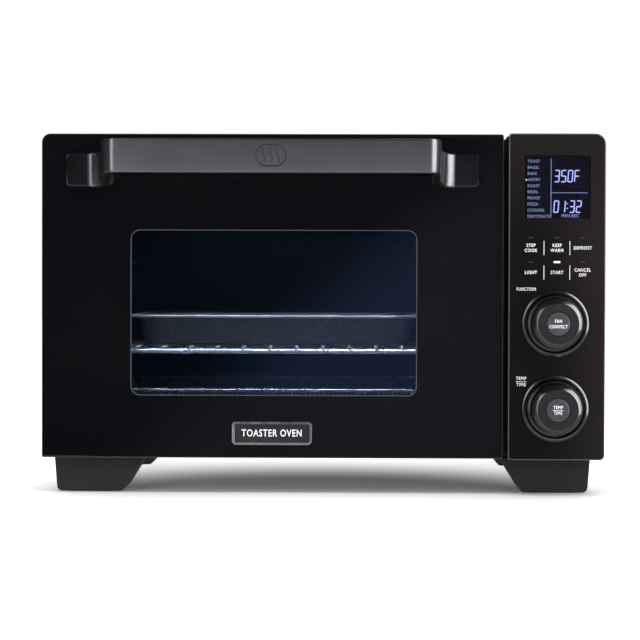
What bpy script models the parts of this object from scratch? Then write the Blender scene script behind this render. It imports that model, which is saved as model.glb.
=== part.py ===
"""A countertop convection toaster oven: housing, cavity, drop-down door, rack, pan and controls.

Metres, +Z up. The front faces -Y, and the origin is on the floor under the middle of the object.
"""

import math

import bmesh
import bpy
from mathutils import Vector
from mathutils.geometry import tessellate_polygon

# Driving dimensions of the whole oven.
WIDTH = 0.480
HEIGHT = 0.308
BACK = 0.206
HANDLE_FRONT = -0.206
PANEL_FRONT = -0.180
DOOR_FRONT = -0.168
GAP = 0.0003
SHEET = 0.0012

# Housing.
COVER_X = 0.2375
COVER_TOP = 0.3055
COVER_BOTTOM = 0.0325
COVER_REAR = 0.1935
CORNER = 0.010
FRAME_FRONT = -0.1440
FRAME_REAR = -0.1425
BASE_BOTTOM = 0.0305
FOOT_TOP = 0.0302
FOOT_FRONT = -0.150
REAR_FOOT_FRONT = 0.110
PAD_TOP = 0.0020

# Door. A handle tab ends TAB_END from the door's middle, HANDLE_DROP below the bar.
DOOR_LEFT = -0.240
DOOR_RIGHT = 0.1545
DOOR_MID = (DOOR_LEFT + DOOR_RIGHT) / 2
DOOR_BOTTOM = 0.031
GLASS = 0.004
FRAME_BACK = -0.1520
STRIP_BACK = -0.1565
DOOR_BACK = -0.1465
STRAP = 0.0070
HANDLE_TALL = 0.0290
HANDLE_Z = 0.2873
HANDLE_DROP = 0.0108
TAB_END = 0.1755
WINDOW_WIDE = 0.250
WINDOW_TALL = 0.146
WINDOW_MID_Z = 0.1556
HINGE_Y = -0.160
HINGE_Z = 0.045
NOTCH_TOP = 0.0525

# Control panel.
PANEL_LEFT = 0.158
PANEL_WALL = 0.0022
KNOB_X = 0.1978
KNOB_Z = {"function": 0.1470, "temp": 0.0748}
LCD_X = (0.1714, 0.2272)
LCD_Z = (0.2357, 0.2896)

# Cavity.
CAVITY_HALF = 0.157
CAVITY_FLOOR = 0.059
CAVITY_TOP = 0.262
CAVITY_REAR = 0.150
CAVITY_RIGHT = DOOR_MID + CAVITY_HALF
RACK_Z = 0.121
RACK_HALF = 0.1515
RACK_FRONT = -0.131
RACK_REAR = 0.138
HEATER_Z = {"upper": 0.252, "lower": 0.0665}
HEATER_Y = 0.085
FAN_Y = 0.010
FAN_Z = 0.160
LAMP_Y = 0.105
LAMP_Z = 0.225
PROBE_Y = -0.090
PROBE_Z = 0.215


# ---------------------------------------------------------------- helpers


def clear_scene():
    for obj in list(bpy.data.objects):
        bpy.data.objects.remove(obj, do_unlink=True)


def material(name, colour, roughness, metallic=0.0, alpha=1.0):
    found = bpy.data.materials.get(name)
    if found:
        return found
    made = bpy.data.materials.new(name)
    made.use_nodes = True
    shader = made.node_tree.nodes["Principled BSDF"]
    shader.inputs["Base Color"].default_value = (*colour, 1.0)
    shader.inputs["Roughness"].default_value = roughness
    shader.inputs["Metallic"].default_value = metallic
    shader.inputs["Alpha"].default_value = alpha
    return made


def painted():
    return material("painted_steel", (0.012, 0.012, 0.014), 0.45, 0.1)


def steel():
    return material("bare_steel", (0.55, 0.55, 0.56), 0.32, 1.0)


def dark_steel():
    return material("dark_enamel", (0.03, 0.032, 0.038), 0.35, 0.4)


def plastic():
    return material("black_plastic", (0.02, 0.02, 0.021), 0.5)


def rubber():
    return material("rubber", (0.015, 0.015, 0.015), 0.85)


def ceramic():
    return material("ceramic", (0.8, 0.78, 0.72), 0.6)


def board():
    return material("circuit_board", (0.02, 0.16, 0.07), 0.5)


def link(name, mesh, look):
    mesh.materials.append(look)
    obj = bpy.data.objects.new(name, mesh)
    bpy.context.scene.collection.objects.link(obj)
    return obj


def solid(name, bm, look, smooth=True):
    """Turns a closed bmesh into an object whose faces point outwards."""
    bmesh.ops.recalc_face_normals(bm, faces=bm.faces)
    if bm.calc_volume(signed=True) < 0:
        bmesh.ops.reverse_faces(bm, faces=bm.faces)
    mesh = bpy.data.meshes.new(name)
    bm.to_mesh(mesh)
    bm.free()
    if smooth:
        mesh.shade_smooth()
        mesh.set_sharp_from_angle(angle=math.radians(35))
    return link(name, mesh, look)


def place(u, v, w, axis):
    """A point from its two outline coordinates and its distance along an axis."""
    if axis == "X":
        return Vector((w, u, v))
    if axis == "Y":
        return Vector((u, w, v))
    return Vector((u, v, w))


def arc(centre_u, centre_v, radius, start, end, steps):
    angles = [math.radians(start + (end - start) * i / steps) for i in range(steps + 1)]
    return [(centre_u + radius * math.cos(a), centre_v + radius * math.sin(a)) for a in angles]


def rounded_rect(u0, u1, v0, v1, radius, steps=4):
    """A rectangle with round corners, from the lower left one anticlockwise.

    radius is one number, or four: lower left, lower right, upper right, upper left.
    """
    radii = radius if isinstance(radius, tuple) else (radius,) * 4
    corners = (
        (u0, v0, 1, 1, 180),
        (u1, v0, -1, 1, 270),
        (u1, v1, -1, -1, 0),
        (u0, v1, 1, -1, 90),
    )
    points = []
    for (u, v, du, dv, start), r in zip(corners, radii):
        points += arc(u + du * r, v + dv * r, r, start, start + 90, steps)
    return points


def circle(u, v, radius, sides=16):
    return arc(u, v, radius, 0, 360, sides)[:-1]


def add_prism(bm, loops, near, far, axis):
    """Adds an outline with holes, extruded from near to far along an axis."""
    caps = tessellate_polygon([[Vector((u, v, 0)) for u, v in loop] for loop in loops])
    levels = []
    for w in (near, far):
        levels.append([[bm.verts.new(place(u, v, w, axis)) for u, v in loop] for loop in loops])
    for level in levels:
        flat = [vert for loop in level for vert in loop]
        for triangle in caps:
            bm.faces.new([flat[i] for i in triangle])
    for low, high in zip(*levels):
        for i in range(len(low)):
            j = (i + 1) % len(low)
            bm.faces.new((low[i], low[j], high[j], high[i]))


def prism(name, loops, near, far, axis, look, smooth=True):
    bm = bmesh.new()
    add_prism(bm, loops, near, far, axis)
    return solid(name, bm, look, smooth)


def loft(name, rings, look):
    """Joins rings with the same number of points and closes the first and the last."""
    bm = bmesh.new()
    rows = [[bm.verts.new(point) for point in ring] for ring in rings]
    for low, high in zip(rows, rows[1:]):
        for i in range(len(low)):
            j = (i + 1) % len(low)
            bm.faces.new((low[i], low[j], high[j], high[i]))
    bm.faces.new(rows[0])
    bm.faces.new(rows[-1])
    return solid(name, bm, look)


def ring_at(outline, w, axis):
    return [place(u, v, w, axis) for u, v in outline]


def turned(name, profile, centre, axis, look, sides=32):
    """Revolves (radius, distance) points about an axis; the last point joins the first."""
    bm = bmesh.new()
    rows = []
    for radius, along in profile:
        if radius == 0:
            rows.append([bm.verts.new(place(*centre, along, axis))] * sides)
        else:
            outline = circle(*centre, radius, sides)
            rows.append([bm.verts.new(point) for point in ring_at(outline, along, axis)])
    for k, low in enumerate(rows):
        after = (k + 1) % len(rows)
        if profile[k][0] == profile[after][0] == 0:
            continue
        high = rows[after]
        for i in range(sides):
            j = (i + 1) % sides
            corners = list(dict.fromkeys((low[i], low[j], high[j], high[i])))
            bm.faces.new(corners)
    return solid(name, bm, look)


def add_sweep(bm, path, radius, sides, closed=False):
    """Adds a round bar along a path of points."""
    count = len(path)
    rows = []
    normal = None
    for i, point in enumerate(path):
        before = path[i - 1] if i or closed else point
        after = path[(i + 1) % count] if i + 1 < count or closed else point
        tangent = (after - before).normalized()
        if normal is None:
            helper = Vector((0, 0, 1)) if abs(tangent.z) < 0.9 else Vector((1, 0, 0))
            normal = tangent.cross(helper).normalized()
        normal = (normal - tangent * normal.dot(tangent)).normalized()
        other = tangent.cross(normal)
        turn = [math.tau * (k + 0.5) / sides for k in range(sides)]
        offsets = [normal * math.cos(a) + other * math.sin(a) for a in turn]
        rows.append([bm.verts.new(point + offset * radius) for offset in offsets])
    pairs = list(zip(rows, rows[1:]))
    if closed:
        pairs.append((rows[-1], rows[0]))
    for low, high in pairs:
        for k in range(sides):
            m = (k + 1) % sides
            bm.faces.new((low[k], low[m], high[m], high[k]))
    if not closed:
        bm.faces.new(rows[0])
        bm.faces.new(rows[-1])


def boolean(obj, other, operation):
    """Leaves a Boolean on obj that uses a hidden helper object."""
    other.hide_render = True
    other.display_type = "WIRE"
    modifier = obj.modifiers.new(operation.lower() + "_" + other.name, "BOOLEAN")
    modifier.operation = operation
    modifier.solver = "EXACT"
    modifier.object = other


def prisms(name, outlines, near, far, axis):
    """A helper object made of several separate prisms."""
    bm = bmesh.new()
    for outline in outlines:
        add_prism(bm, [outline], near, far, axis)
    return solid(name, bm, painted(), smooth=False)


def slot_grid(u_start, u_pitch, columns, v_ranges, wide):
    """Upright slots with round ends, in rows."""
    outlines = []
    for low, high in v_ranges:
        for i in range(columns):
            u = u_start + i * u_pitch
            outlines.append(rounded_rect(u - wide / 2, u + wide / 2, low, high, wide * 0.45, 2))
    return outlines


def hang(objects, name, location):
    """Parents pieces to an empty that stands on their joint's axis."""
    pivot = bpy.data.objects.new(name, None)
    pivot.location = location
    bpy.context.scene.collection.objects.link(pivot)
    bpy.context.view_layer.update()
    for obj in objects:
        obj.parent = pivot
        obj.matrix_parent_inverse = pivot.matrix_world.inverted()


# ---------------------------------------------------------------- housing


def outer_cover():
    outer = [(COVER_X, COVER_BOTTOM)]
    outer += arc(COVER_X - CORNER, COVER_TOP - CORNER, CORNER, 0, 90, 6)
    outer += arc(-COVER_X + CORNER, COVER_TOP - CORNER, CORNER, 90, 180, 6)
    outer += [(-COVER_X, COVER_BOTTOM)]
    inside = CORNER - SHEET
    inner = [(-COVER_X + SHEET, COVER_BOTTOM)]
    inner += arc(-COVER_X + CORNER, COVER_TOP - CORNER, inside, 180, 90, 6)
    inner += arc(COVER_X - CORNER, COVER_TOP - CORNER, inside, 90, 0, 6)
    inner += [(COVER_X - SHEET, COVER_BOTTOM)]
    cover = prism("outer_cover", [outer + inner], FRAME_FRONT, COVER_REAR, "Y", painted())
    slots = slot_grid(0.030, 0.015, 9, ((0.230, 0.275),), 0.0045)
    vents = prisms("cover_vent_cutter", slots, -COVER_X - 0.01, COVER_X + 0.01, "X")
    boolean(cover, vents, "DIFFERENCE")


def rear_cover():
    outline = rounded_rect(-COVER_X, COVER_X, BASE_BOTTOM, COVER_TOP, (0.002, 0.002, CORNER, CORNER))
    vents = slot_grid(-0.140, 0.020, 8, ((0.225, 0.262),), 0.005)
    vents += slot_grid(0.125, 0.016, 6, ((0.120, 0.157),), 0.005)
    cord_hole = circle(0.195, 0.062, 0.0082, 16)
    front = COVER_REAR + GAP
    prism("rear_cover", [outline, cord_hole] + vents, front, front + 0.0015, "Y", painted())


def rear_bumpers():
    outline = rounded_rect(-0.014, 0.014, -0.022, 0.022, 0.005)
    for side, x in (("left", -0.190), ("right", 0.190)):
        near = COVER_REAR + 0.0015 + 2 * GAP
        rings = []
        for inset, y in ((0, near), (0, BACK - 0.004), (0.003, BACK)):
            shape = [(x + u * (1 - inset / 0.014), 0.190 + v * (1 - inset / 0.022)) for u, v in outline]
            rings.append(ring_at(shape, y, "Y"))
        loft("rear_bumper_" + side, rings, plastic())


def cord_gland():
    front = COVER_REAR - 0.006
    middle = COVER_REAR + 0.0015 + 2 * GAP
    profile = (
        (0.0079, front),
        (0.0079, middle),
        (0.0115, middle),
        (0.0105, 0.2025),
        (0.0080, 0.2055),
        (0.0040, 0.2055),
        (0.0040, front),
    )
    turned("cord_gland", profile, (0.195, 0.062), "Y", plastic(), 16)


def base_plate():
    half = COVER_X - SHEET - GAP
    top = BASE_BOTTOM + SHEET
    lip = 0.046
    outline = [
        (-half, BASE_BOTTOM),
        (half, BASE_BOTTOM),
        (half, lip),
        (half - SHEET, lip),
        (half - SHEET, top),
        (-half + SHEET, top),
        (-half + SHEET, lip),
        (-half, lip),
    ]
    base = prism("base_plate", [outline], FRAME_REAR + GAP, COVER_REAR, "Y", steel(), smooth=False)
    slots = slot_grid(0.165, 0.014, 5, ((-0.020, 0.040),), 0.004)
    cutter = prisms("base_vent_cutter", slots, 0.025, 0.036, "Z")
    boolean(base, cutter, "DIFFERENCE")


def front_frame():
    half = COVER_X - SHEET - GAP
    top = COVER_TOP - SHEET - GAP
    outline = rounded_rect(-half, half, BASE_BOTTOM, top, (0.001, 0.001, 0.0085, 0.0085))
    left, right = DOOR_MID - CAVITY_HALF, DOOR_MID + CAVITY_HALF
    mouth = rounded_rect(left, right, CAVITY_FLOOR, CAVITY_TOP, 0.008)
    wiring = rounded_rect(0.170, 0.226, 0.050, 0.290, 0.004, 2)
    prism("front_frame", [outline, mouth, wiring], FRAME_FRONT, FRAME_REAR, "Y", painted())


def door_seal():
    left, right = DOOR_MID - CAVITY_HALF, DOOR_MID + CAVITY_HALF
    outer = rounded_rect(left - 0.010, right + 0.010, CAVITY_FLOOR - 0.004, CAVITY_TOP + 0.010, 0.014)
    inner = rounded_rect(left - 0.003, right + 0.003, CAVITY_FLOOR - 0.001, CAVITY_TOP + 0.003, 0.010)
    rubber_back = FRAME_FRONT - GAP
    prism("door_seal", [outer, inner], rubber_back - 0.0018, rubber_back, "Y", rubber())


def feet():
    """A front and a rear foot on each side, sloping in, each with a pad let into its underside."""
    half = WIDTH / 2
    for side, sign in (("left", -1), ("right", 1)):
        outline = [(half - 0.0086, FOOT_TOP), (half - 0.0106, 0.0050)]
        outline += arc(half - 0.0148, 0.0048, 0.0040, 0, -90, 3)
        outline += arc(half - 0.0655, 0.0048, 0.0040, -90, -150, 3)
        outline += [(half - 0.0860, FOOT_TOP)]
        shape = [(sign * x, z) for x, z in outline]
        pad = rounded_rect(half - 0.062, half - 0.017, 0.006, 0.054, 0.006, 3)
        pocket = rounded_rect(
            half - 0.062 - GAP,
            half - 0.017 + GAP,
            0.006 - GAP,
            0.054 + GAP,
            0.006 + GAP,
            3,
        )
        for end, y in (("front", FOOT_FRONT), ("rear", REAR_FOOT_FRONT)):
            name = end + "_" + side
            foot = prism("foot_" + name, [shape], y, y + 0.060, "Y", plastic())
            hollow = [(sign * u, y + v) for u, v in pocket]
            cutter = prisms("pocket_cutter_" + name, [hollow], -0.005, PAD_TOP + GAP, "Z")
            boolean(foot, cutter, "DIFFERENCE")
            sole = [(sign * u, y + v) for u, v in pad]
            prism("foot_pad_" + name, [sole], 0.0, PAD_TOP, "Z", rubber())


# ---------------------------------------------------------------- cavity


def cavity_liner():
    wall = 0.001
    front = FRAME_REAR + GAP
    rings = []
    for inset, y in ((-wall, CAVITY_REAR + wall), (-wall, front), (0, front), (0, CAVITY_REAR)):
        outline = rounded_rect(
            DOOR_MID - CAVITY_HALF + inset,
            DOOR_MID + CAVITY_HALF - inset,
            CAVITY_FLOOR + inset,
            CAVITY_TOP - inset,
            0.008 - inset,
        )
        rings.append(ring_at(outline, y, "Y"))
    liner = loft("cavity_liner", rings, dark_steel())
    holes = [circle(y, z, 0.0042, 8) for z in HEATER_Z.values() for y in (-HEATER_Y, HEATER_Y)]
    holes += [circle(FAN_Y, FAN_Z, 0.007, 8), circle(LAMP_Y, LAMP_Z, 0.012, 12)]
    holes.append(circle(PROBE_Y, PROBE_Z, 0.0024, 8))
    for count, radius in ((6, 0.022), (12, 0.042)):
        for y, z in circle(FAN_Y, FAN_Z, radius, count):
            holes.append(circle(y, z, 0.006, 6))
    cutter = prisms("liner_hole_cutter", holes, CAVITY_RIGHT - 0.005, CAVITY_RIGHT + 0.005, "X")
    boolean(liner, cutter, "DIFFERENCE")


def rack_guides():
    """A pressed rail on each side wall, with a ledge for each rack position."""
    ledges = (0.0745, 0.1180, 0.1600, 0.2020)
    for side, sign in (("left", -1), ("right", 1)):
        wall = CAVITY_HALF - GAP
        outline = [(wall, 0.0700)]
        outline += [(wall, 0.2080), (wall - 0.001, 0.2080)]
        for z in reversed(ledges):
            outline += [(wall - 0.001, z), (wall - 0.0085, z), (wall - 0.0085, z - 0.001)]
            outline += [(wall - 0.001, z - 0.001)]
        outline += [(wall - 0.001, 0.0700)]
        shape = [(DOOR_MID + sign * x, z) for x, z in outline]
        guide = prism("rack_guide_" + side, [shape], -0.136, 0.140, "Y", steel(), smooth=False)
        openings = []
        for low, high in zip(ledges, ledges[1:]):
            openings.append(rounded_rect(-0.050, 0.070, low + 0.004, high - 0.005, 0.003, 2))
        reach = sorted((DOOR_MID + sign * (wall - 0.003), DOOR_MID + sign * (wall + 0.003)))
        cutter = prisms("guide_cutter_" + side, openings, reach[0], reach[1], "X")
        boolean(guide, cutter, "DIFFERENCE")


def heaters():
    """Each element is a hairpin whose two ends go through the right wall."""
    radius = 0.0032
    bend = 0.020
    far = DOOR_MID - CAVITY_HALF + 0.018
    end = CAVITY_RIGHT + 0.022
    for level, z in HEATER_Z.items():
        path = [(end, -HEATER_Y)]
        path += arc(far + bend, -HEATER_Y + bend, bend, 270, 180, 5)
        path += arc(far + bend, HEATER_Y - bend, bend, 180, 90, 5)
        path += [(end, HEATER_Y)]
        bm = bmesh.new()
        add_sweep(bm, [Vector((x, y, z)) for x, y in path], radius, 8)
        solid("heater_" + level, bm, dark_steel())
        outline = rounded_rect(-0.100, 0.100, z - 0.007, z + 0.007, 0.003, 2)
        bores = [circle(y, z, radius + GAP, 8) for y in (-HEATER_Y, HEATER_Y)]
        near = CAVITY_RIGHT + 0.001 + GAP
        prism("heater_terminal_" + level, [outline] + bores, near, near + 0.012, "X", ceramic())


def tray(name, half, front, rear, low, high, wall, draft, rim, corner, look):
    """An open tray of sheet metal with sloping sides and an outward rim."""
    levels = (
        (0.0, low),
        (draft, high - wall),
        (draft + rim, high - wall),
        (draft + rim, high),
        (draft - wall, high),
        (-wall, low + wall),
    )
    rings = []
    for out, z in levels:
        outline = rounded_rect(
            DOOR_MID - half - out,
            DOOR_MID + half + out,
            front - out,
            rear + out,
            corner + out,
        )
        rings.append(ring_at(outline, z, "Z"))
    return loft(name, rings, look)


def trays():
    tray("crumb_tray", 0.148, -0.134, 0.138, 0.0594, 0.0622, 0.0006, 0.001, 0.003, 0.006, steel())
    tray("air_fry_basket", 0.143, -0.118, 0.128, 0.0757, 0.0880, 0.0012, 0.002, 0.005, 0.010, steel())
    tray("baking_pan", 0.118, -0.075, 0.128, 0.1255, 0.1520, 0.0010, 0.007, 0.012, 0.014, dark_steel())


def wire_rack():
    """A bar bent into a rectangle, with thin wires from front to back and a bar under them."""
    bar = 0.0020
    wire = 0.0013
    outline = rounded_rect(DOOR_MID - RACK_HALF, DOOR_MID + RACK_HALF, RACK_FRONT, RACK_REAR, 0.012, 3)
    bm = bmesh.new()
    add_sweep(bm, [Vector((x, y, RACK_Z)) for x, y in outline], bar, 8, closed=True)
    rack = solid("wire_rack", bm, steel())
    pitch = 0.0234
    top = RACK_Z + bar + wire - 0.0006
    wires = bmesh.new()
    for i in range(-6, 7):
        x = DOOR_MID + i * pitch - pitch / 6
        ends = [Vector((x, RACK_FRONT - 0.001, top)), Vector((x, RACK_REAR + 0.001, top))]
        add_sweep(wires, ends, wire, 6)
    boolean(rack, solid("rack_wire_helper", wires, steel()), "UNION")
    cross = bmesh.new()
    for y in (-0.045, 0.050):
        ends = [Vector((DOOR_MID + sign * RACK_HALF, y, RACK_Z)) for sign in (-1, 1)]
        add_sweep(cross, ends, 0.0018, 6)
    boolean(rack, solid("rack_cross_helper", cross, steel()), "UNION")


def convection():
    """Fan, its can and its motor, behind the cavity's right wall."""
    centre = (FAN_Y, FAN_Z)
    near = CAVITY_RIGHT + 0.001 + GAP
    rear = near + 0.026
    can = (
        (0.0680, near),
        (0.0680, rear),
        (0.0060, rear),
        (0.0060, rear - SHEET),
        (0.0668, rear - SHEET),
        (0.0668, near),
    )
    turned("fan_housing", can, centre, "X", steel(), 24)
    motor = (
        (0.0000, rear + 0.012),
        (0.0034, rear + 0.012),
        (0.0034, rear + GAP),
        (0.0100, rear + GAP),
        (0.0100, rear + 0.003),
        (0.0260, rear + 0.004),
        (0.0260, rear + 0.030),
        (0.0120, rear + 0.034),
        (0.0000, rear + 0.034),
    )
    turned("fan_motor", motor, centre, "X", steel(), 16)
    hub_near = near + 0.004
    disc = (
        (0.0000, hub_near),
        (0.0080, hub_near),
        (0.0100, hub_near + 0.012),
        (0.0540, hub_near + 0.0125),
        (0.0540, hub_near + 0.0137),
        (0.0030, hub_near + 0.0137),
        (0.0030, rear + 0.009),
        (0.0000, rear + 0.009),
    )
    blade = turned("fan_blade", disc, centre, "X", steel(), 20)
    paddles = bmesh.new()
    for i in range(8):
        turn = math.tau * i / 8
        outline = rounded_rect(0.018, 0.052, -0.0006, 0.0006, 0.0002, 1)
        shape = []
        for u, v in outline:
            y = FAN_Y + u * math.cos(turn) - v * math.sin(turn)
            z = FAN_Z + u * math.sin(turn) + v * math.cos(turn)
            shape.append((y, z))
        add_prism(paddles, [shape], near + 0.005, hub_near + 0.0131, "X")
    boolean(blade, solid("fan_paddle_helper", paddles, steel()), "UNION")
    hang([blade], "fan_axis", (hub_near, FAN_Y, FAN_Z))


def lamp_and_probe():
    wall = CAVITY_RIGHT
    lens = (
        (0.0000, wall - 0.0110),
        (0.0110, wall - 0.0095),
        (0.0150, wall - 0.0060),
        (0.0170, wall - 0.0020),
        (0.0170, wall - GAP),
        (0.0000, wall - GAP),
    )
    turned("lamp_lens", lens, (LAMP_Y, LAMP_Z), "X", material("lamp_glass", (0.9, 0.9, 0.85), 0.1), 20)
    near = wall + 0.001 + GAP
    holder = ((0.0, near), (0.0160, near), (0.0160, near + 0.003), (0.0110, near + 0.004))
    holder += ((0.0110, near + 0.030), (0.0, near + 0.030))
    turned("lamp_holder", holder, (LAMP_Y, LAMP_Z), "X", ceramic(), 16)
    probe = ((0.0, wall - 0.030), (0.0018, wall - 0.029), (0.0018, near), (0.0050, near))
    probe += ((0.0050, near + 0.008), (0.0, near + 0.008))
    turned("temperature_probe", probe, (PROBE_Y, PROBE_Z), "X", steel(), 8)


def heat_shield():
    outline = rounded_rect(-0.1415, 0.1900, 0.0325, 0.2980, 0.004, 2)
    hole = circle(FAN_Y, FAN_Z, 0.0285, 20)
    slots = slot_grid(-0.060, 0.020, 3, ((0.240, 0.275),), 0.006)
    prism("heat_shield", [outline, hole] + slots, 0.1560, 0.1570, "X", steel())


# ---------------------------------------------------------------- door


def hinge_places():
    """Each hinge's name, the x of the notch's outer side and the direction towards the door's middle."""
    return (("left", DOOR_LEFT + 0.0075, 1), ("right", DOOR_RIGHT - 0.0075, -1))


def door_outline(inset):
    return rounded_rect(
        DOOR_LEFT + inset,
        DOOR_RIGHT - inset,
        DOOR_BOTTOM + inset,
        HEIGHT - inset,
        (0.0014, 0.0014, 0.0018, 0.0074 - inset),
    )


def door_panes():
    chamfer = 0.0005
    back = DOOR_FRONT + GLASS
    levels = ((0.0, back), (0.0, DOOR_FRONT + chamfer), (chamfer, DOOR_FRONT))
    glass = material("door_glass", (0.02, 0.02, 0.022), 0.04, 0.0, 0.6)
    outer = loft("door_outer_glass", [ring_at(door_outline(i), y, "Y") for i, y in levels], glass)
    half_x, half_z = WINDOW_WIDE / 2 + 0.003, WINDOW_TALL / 2 + 0.003
    outline = rounded_rect(
        DOOR_MID - half_x, DOOR_MID + half_x, WINDOW_MID_Z - half_z, WINDOW_MID_Z + half_z, 0.008
    )
    inner = prism("door_inner_glass", [outline], -0.1503, -0.1471, "Y", glass)
    return [outer, inner]


def door_frame():
    """The moulded frame between the panes, notched for the hinges and cut back where its foot swings."""
    half_x, half_z = WINDOW_WIDE / 2, WINDOW_TALL / 2
    window = rounded_rect(
        DOOR_MID - half_x, DOOR_MID + half_x, WINDOW_MID_Z - half_z, WINDOW_MID_Z + half_z, 0.010
    )
    near = DOOR_FRONT + GLASS + GAP
    frame = prism("door_frame", [door_outline(0.0008), window], near, FRAME_BACK, "Y", plastic())
    notches = bmesh.new()
    bores = bmesh.new()
    for _, x, sign in hinge_places():
        ends = sorted((x, x + sign * 0.016))
        shape = [(ends[0], 0.020), (ends[1], 0.020), (ends[1], NOTCH_TOP), (ends[0], NOTCH_TOP)]
        add_prism(notches, [shape], near - 0.01, FRAME_BACK + 0.01, "Y")
        bore = sorted((x - sign * 0.0040, x + sign * 0.0210))
        hole = circle(HINGE_Y, HINGE_Z, 0.0023, 12)
        add_prism(bores, [hole], bore[0], bore[1], "X")
    swing = [(STRIP_BACK, 0.020), (FRAME_BACK + 0.01, 0.020), (FRAME_BACK + 0.01, 0.040), (STRIP_BACK, 0.040)]
    boolean(frame, solid("door_notch_cutter", notches, plastic(), smooth=False), "DIFFERENCE")
    strip = prisms("door_strip_cutter", [swing], DOOR_LEFT - 0.01, DOOR_RIGHT + 0.01, "X")
    boolean(frame, strip, "DIFFERENCE")
    boolean(frame, solid("door_bore_cutter", bores, plastic(), smooth=False), "DIFFERENCE")
    return frame


def door_inner_panel():
    half_x, half_z = WINDOW_WIDE / 2 + 0.003 + GAP, WINDOW_TALL / 2 + 0.003 + GAP
    outline = rounded_rect(DOOR_LEFT + 0.004, DOOR_RIGHT - 0.004, 0.0535, HEIGHT - 0.004, 0.006)
    window = rounded_rect(
        DOOR_MID - half_x, DOOR_MID + half_x, WINDOW_MID_Z - half_z, WINDOW_MID_Z + half_z, 0.0083
    )
    return prism("door_inner_panel", [outline, window], FRAME_BACK + GAP, DOOR_BACK, "Y", dark_steel())


def hinge_hardware():
    """Fixed brackets, pins and torsion springs; the door's frame turns on the pins."""
    for side, x, sign in hinge_places():
        plate = sorted((x + sign * 0.0010, x + sign * 0.0030))
        reach = FRAME_FRONT - GAP
        outline = arc(HINGE_Y, HINGE_Z, 0.0034, 90, 270, 6)
        outline += [(reach, HINGE_Z - 0.0034), (reach, HINGE_Z + 0.0034)]
        eye = circle(HINGE_Y, HINGE_Z, 0.0023, 12)
        prism("hinge_bracket_" + side, [outline, eye], plate[0], plate[1], "X", steel())
        span = sorted((x - sign * 0.0035, x + sign * 0.0205))
        pin = ((0.0, span[0]), (0.0019, span[0]), (0.0019, span[1]), (0.0, span[1]))
        turned("hinge_pin_" + side, pin, (HINGE_Y, HINGE_Z), "X", steel(), 12)
        coil = bmesh.new()
        turns, steps, coil_radius = 4, 9, 0.0029
        start = x + sign * 0.0045
        path = []
        for i in range(turns * steps + 1):
            angle = math.tau * i / steps
            along = start + sign * 0.0022 * i / steps
            y, z = HINGE_Y + coil_radius * math.cos(angle), HINGE_Z + coil_radius * math.sin(angle)
            path.append(Vector((along, y, z)))
        add_sweep(coil, path, 0.0006, 4)
        solid("hinge_spring_" + side, coil, steel())


def handle_stations():
    """The strap's middle line, left to right: (x from the door's middle, y, z, direction in plan).

    The bar turns back through a tight bend, and the leg opens through a wide one to a tab on the
    door. The strap sinks by HANDLE_DROP on the way.
    """
    bar_y = HANDLE_FRONT + STRAP / 2
    tab_y = DOOR_FRONT - GAP - STRAP / 2
    tight, wide = 0.0085, 0.0180
    leg_x = 0.1400
    half = [(0.0, bar_y, 0)]
    for turn in (0, 18, 36, 54, 72, 90):
        a = math.radians(turn)
        half.append((leg_x - tight + tight * math.sin(a), bar_y + tight * (1 - math.cos(a)), turn))
    for turn in (90, 75, 60, 45, 30, 15, 0):
        a = math.radians(turn)
        half.append((leg_x + wide - wide * math.sin(a), tab_y - wide * (1 - math.cos(a)), turn))
    half.append((TAB_END, tab_y, 0))
    stations = []
    for x, y, turn in half:
        part = (y - bar_y) / (tab_y - bar_y)
        drop = HANDLE_DROP * part * part * (3 - 2 * part)
        stations.append((x, y, HANDLE_Z - drop, math.radians(turn)))
    mirrored = [(-x, y, z, -turn) for x, y, z, turn in reversed(stations[1:])]
    return mirrored + stations


def door_handle():
    """One flat strap, bent to a bar with a tab at each end."""
    section = rounded_rect(-STRAP / 2, STRAP / 2, -HANDLE_TALL / 2, HANDLE_TALL / 2, 0.0022, 2)
    rings = []
    for x, y, z, turn in handle_stations():
        across = Vector((-math.sin(turn), math.cos(turn), 0.0))
        middle = Vector((DOOR_MID + x, y, z))
        rings.append([middle + across * u + Vector((0.0, 0.0, v)) for u, v in section])
    metal = material("satin_black_metal", (0.05, 0.05, 0.055), 0.35, 0.8)
    return [loft("door_handle", rings, metal)]


def badge():
    """A plaque with a raised rim, under the window."""
    half_x, half_z, mid_z = 0.03425, 0.0100, 0.0522
    back = DOOR_FRONT - GAP
    levels = ((0.0, back), (0.0, back - 0.0010), (0.0006, back - 0.0016))
    levels += ((0.0022, back - 0.0016), (0.0026, back - 0.0010))
    rings = []
    for inset, y in levels:
        outline = rounded_rect(
            DOOR_MID - half_x + inset,
            DOOR_MID + half_x - inset,
            mid_z - half_z + inset,
            mid_z + half_z - inset,
            0.0034 - inset,
        )
        rings.append(ring_at(outline, y, "Y"))
    return loft("badge", rings, steel())


def door():
    pieces = door_panes() + [door_frame(), door_inner_panel(), badge()] + door_handle()
    hang(pieces, "door_hinge_axis", (DOOR_MID, HINGE_Y, HINGE_Z))
    hinge_hardware()


# ---------------------------------------------------------------- controls


def panel_outline(inset):
    return rounded_rect(
        PANEL_LEFT + inset,
        WIDTH / 2 - inset,
        DOOR_BOTTOM + inset,
        HEIGHT - inset,
        (0.0024, 0.0040, 0.0090 - inset, 0.0024),
    )


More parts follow.
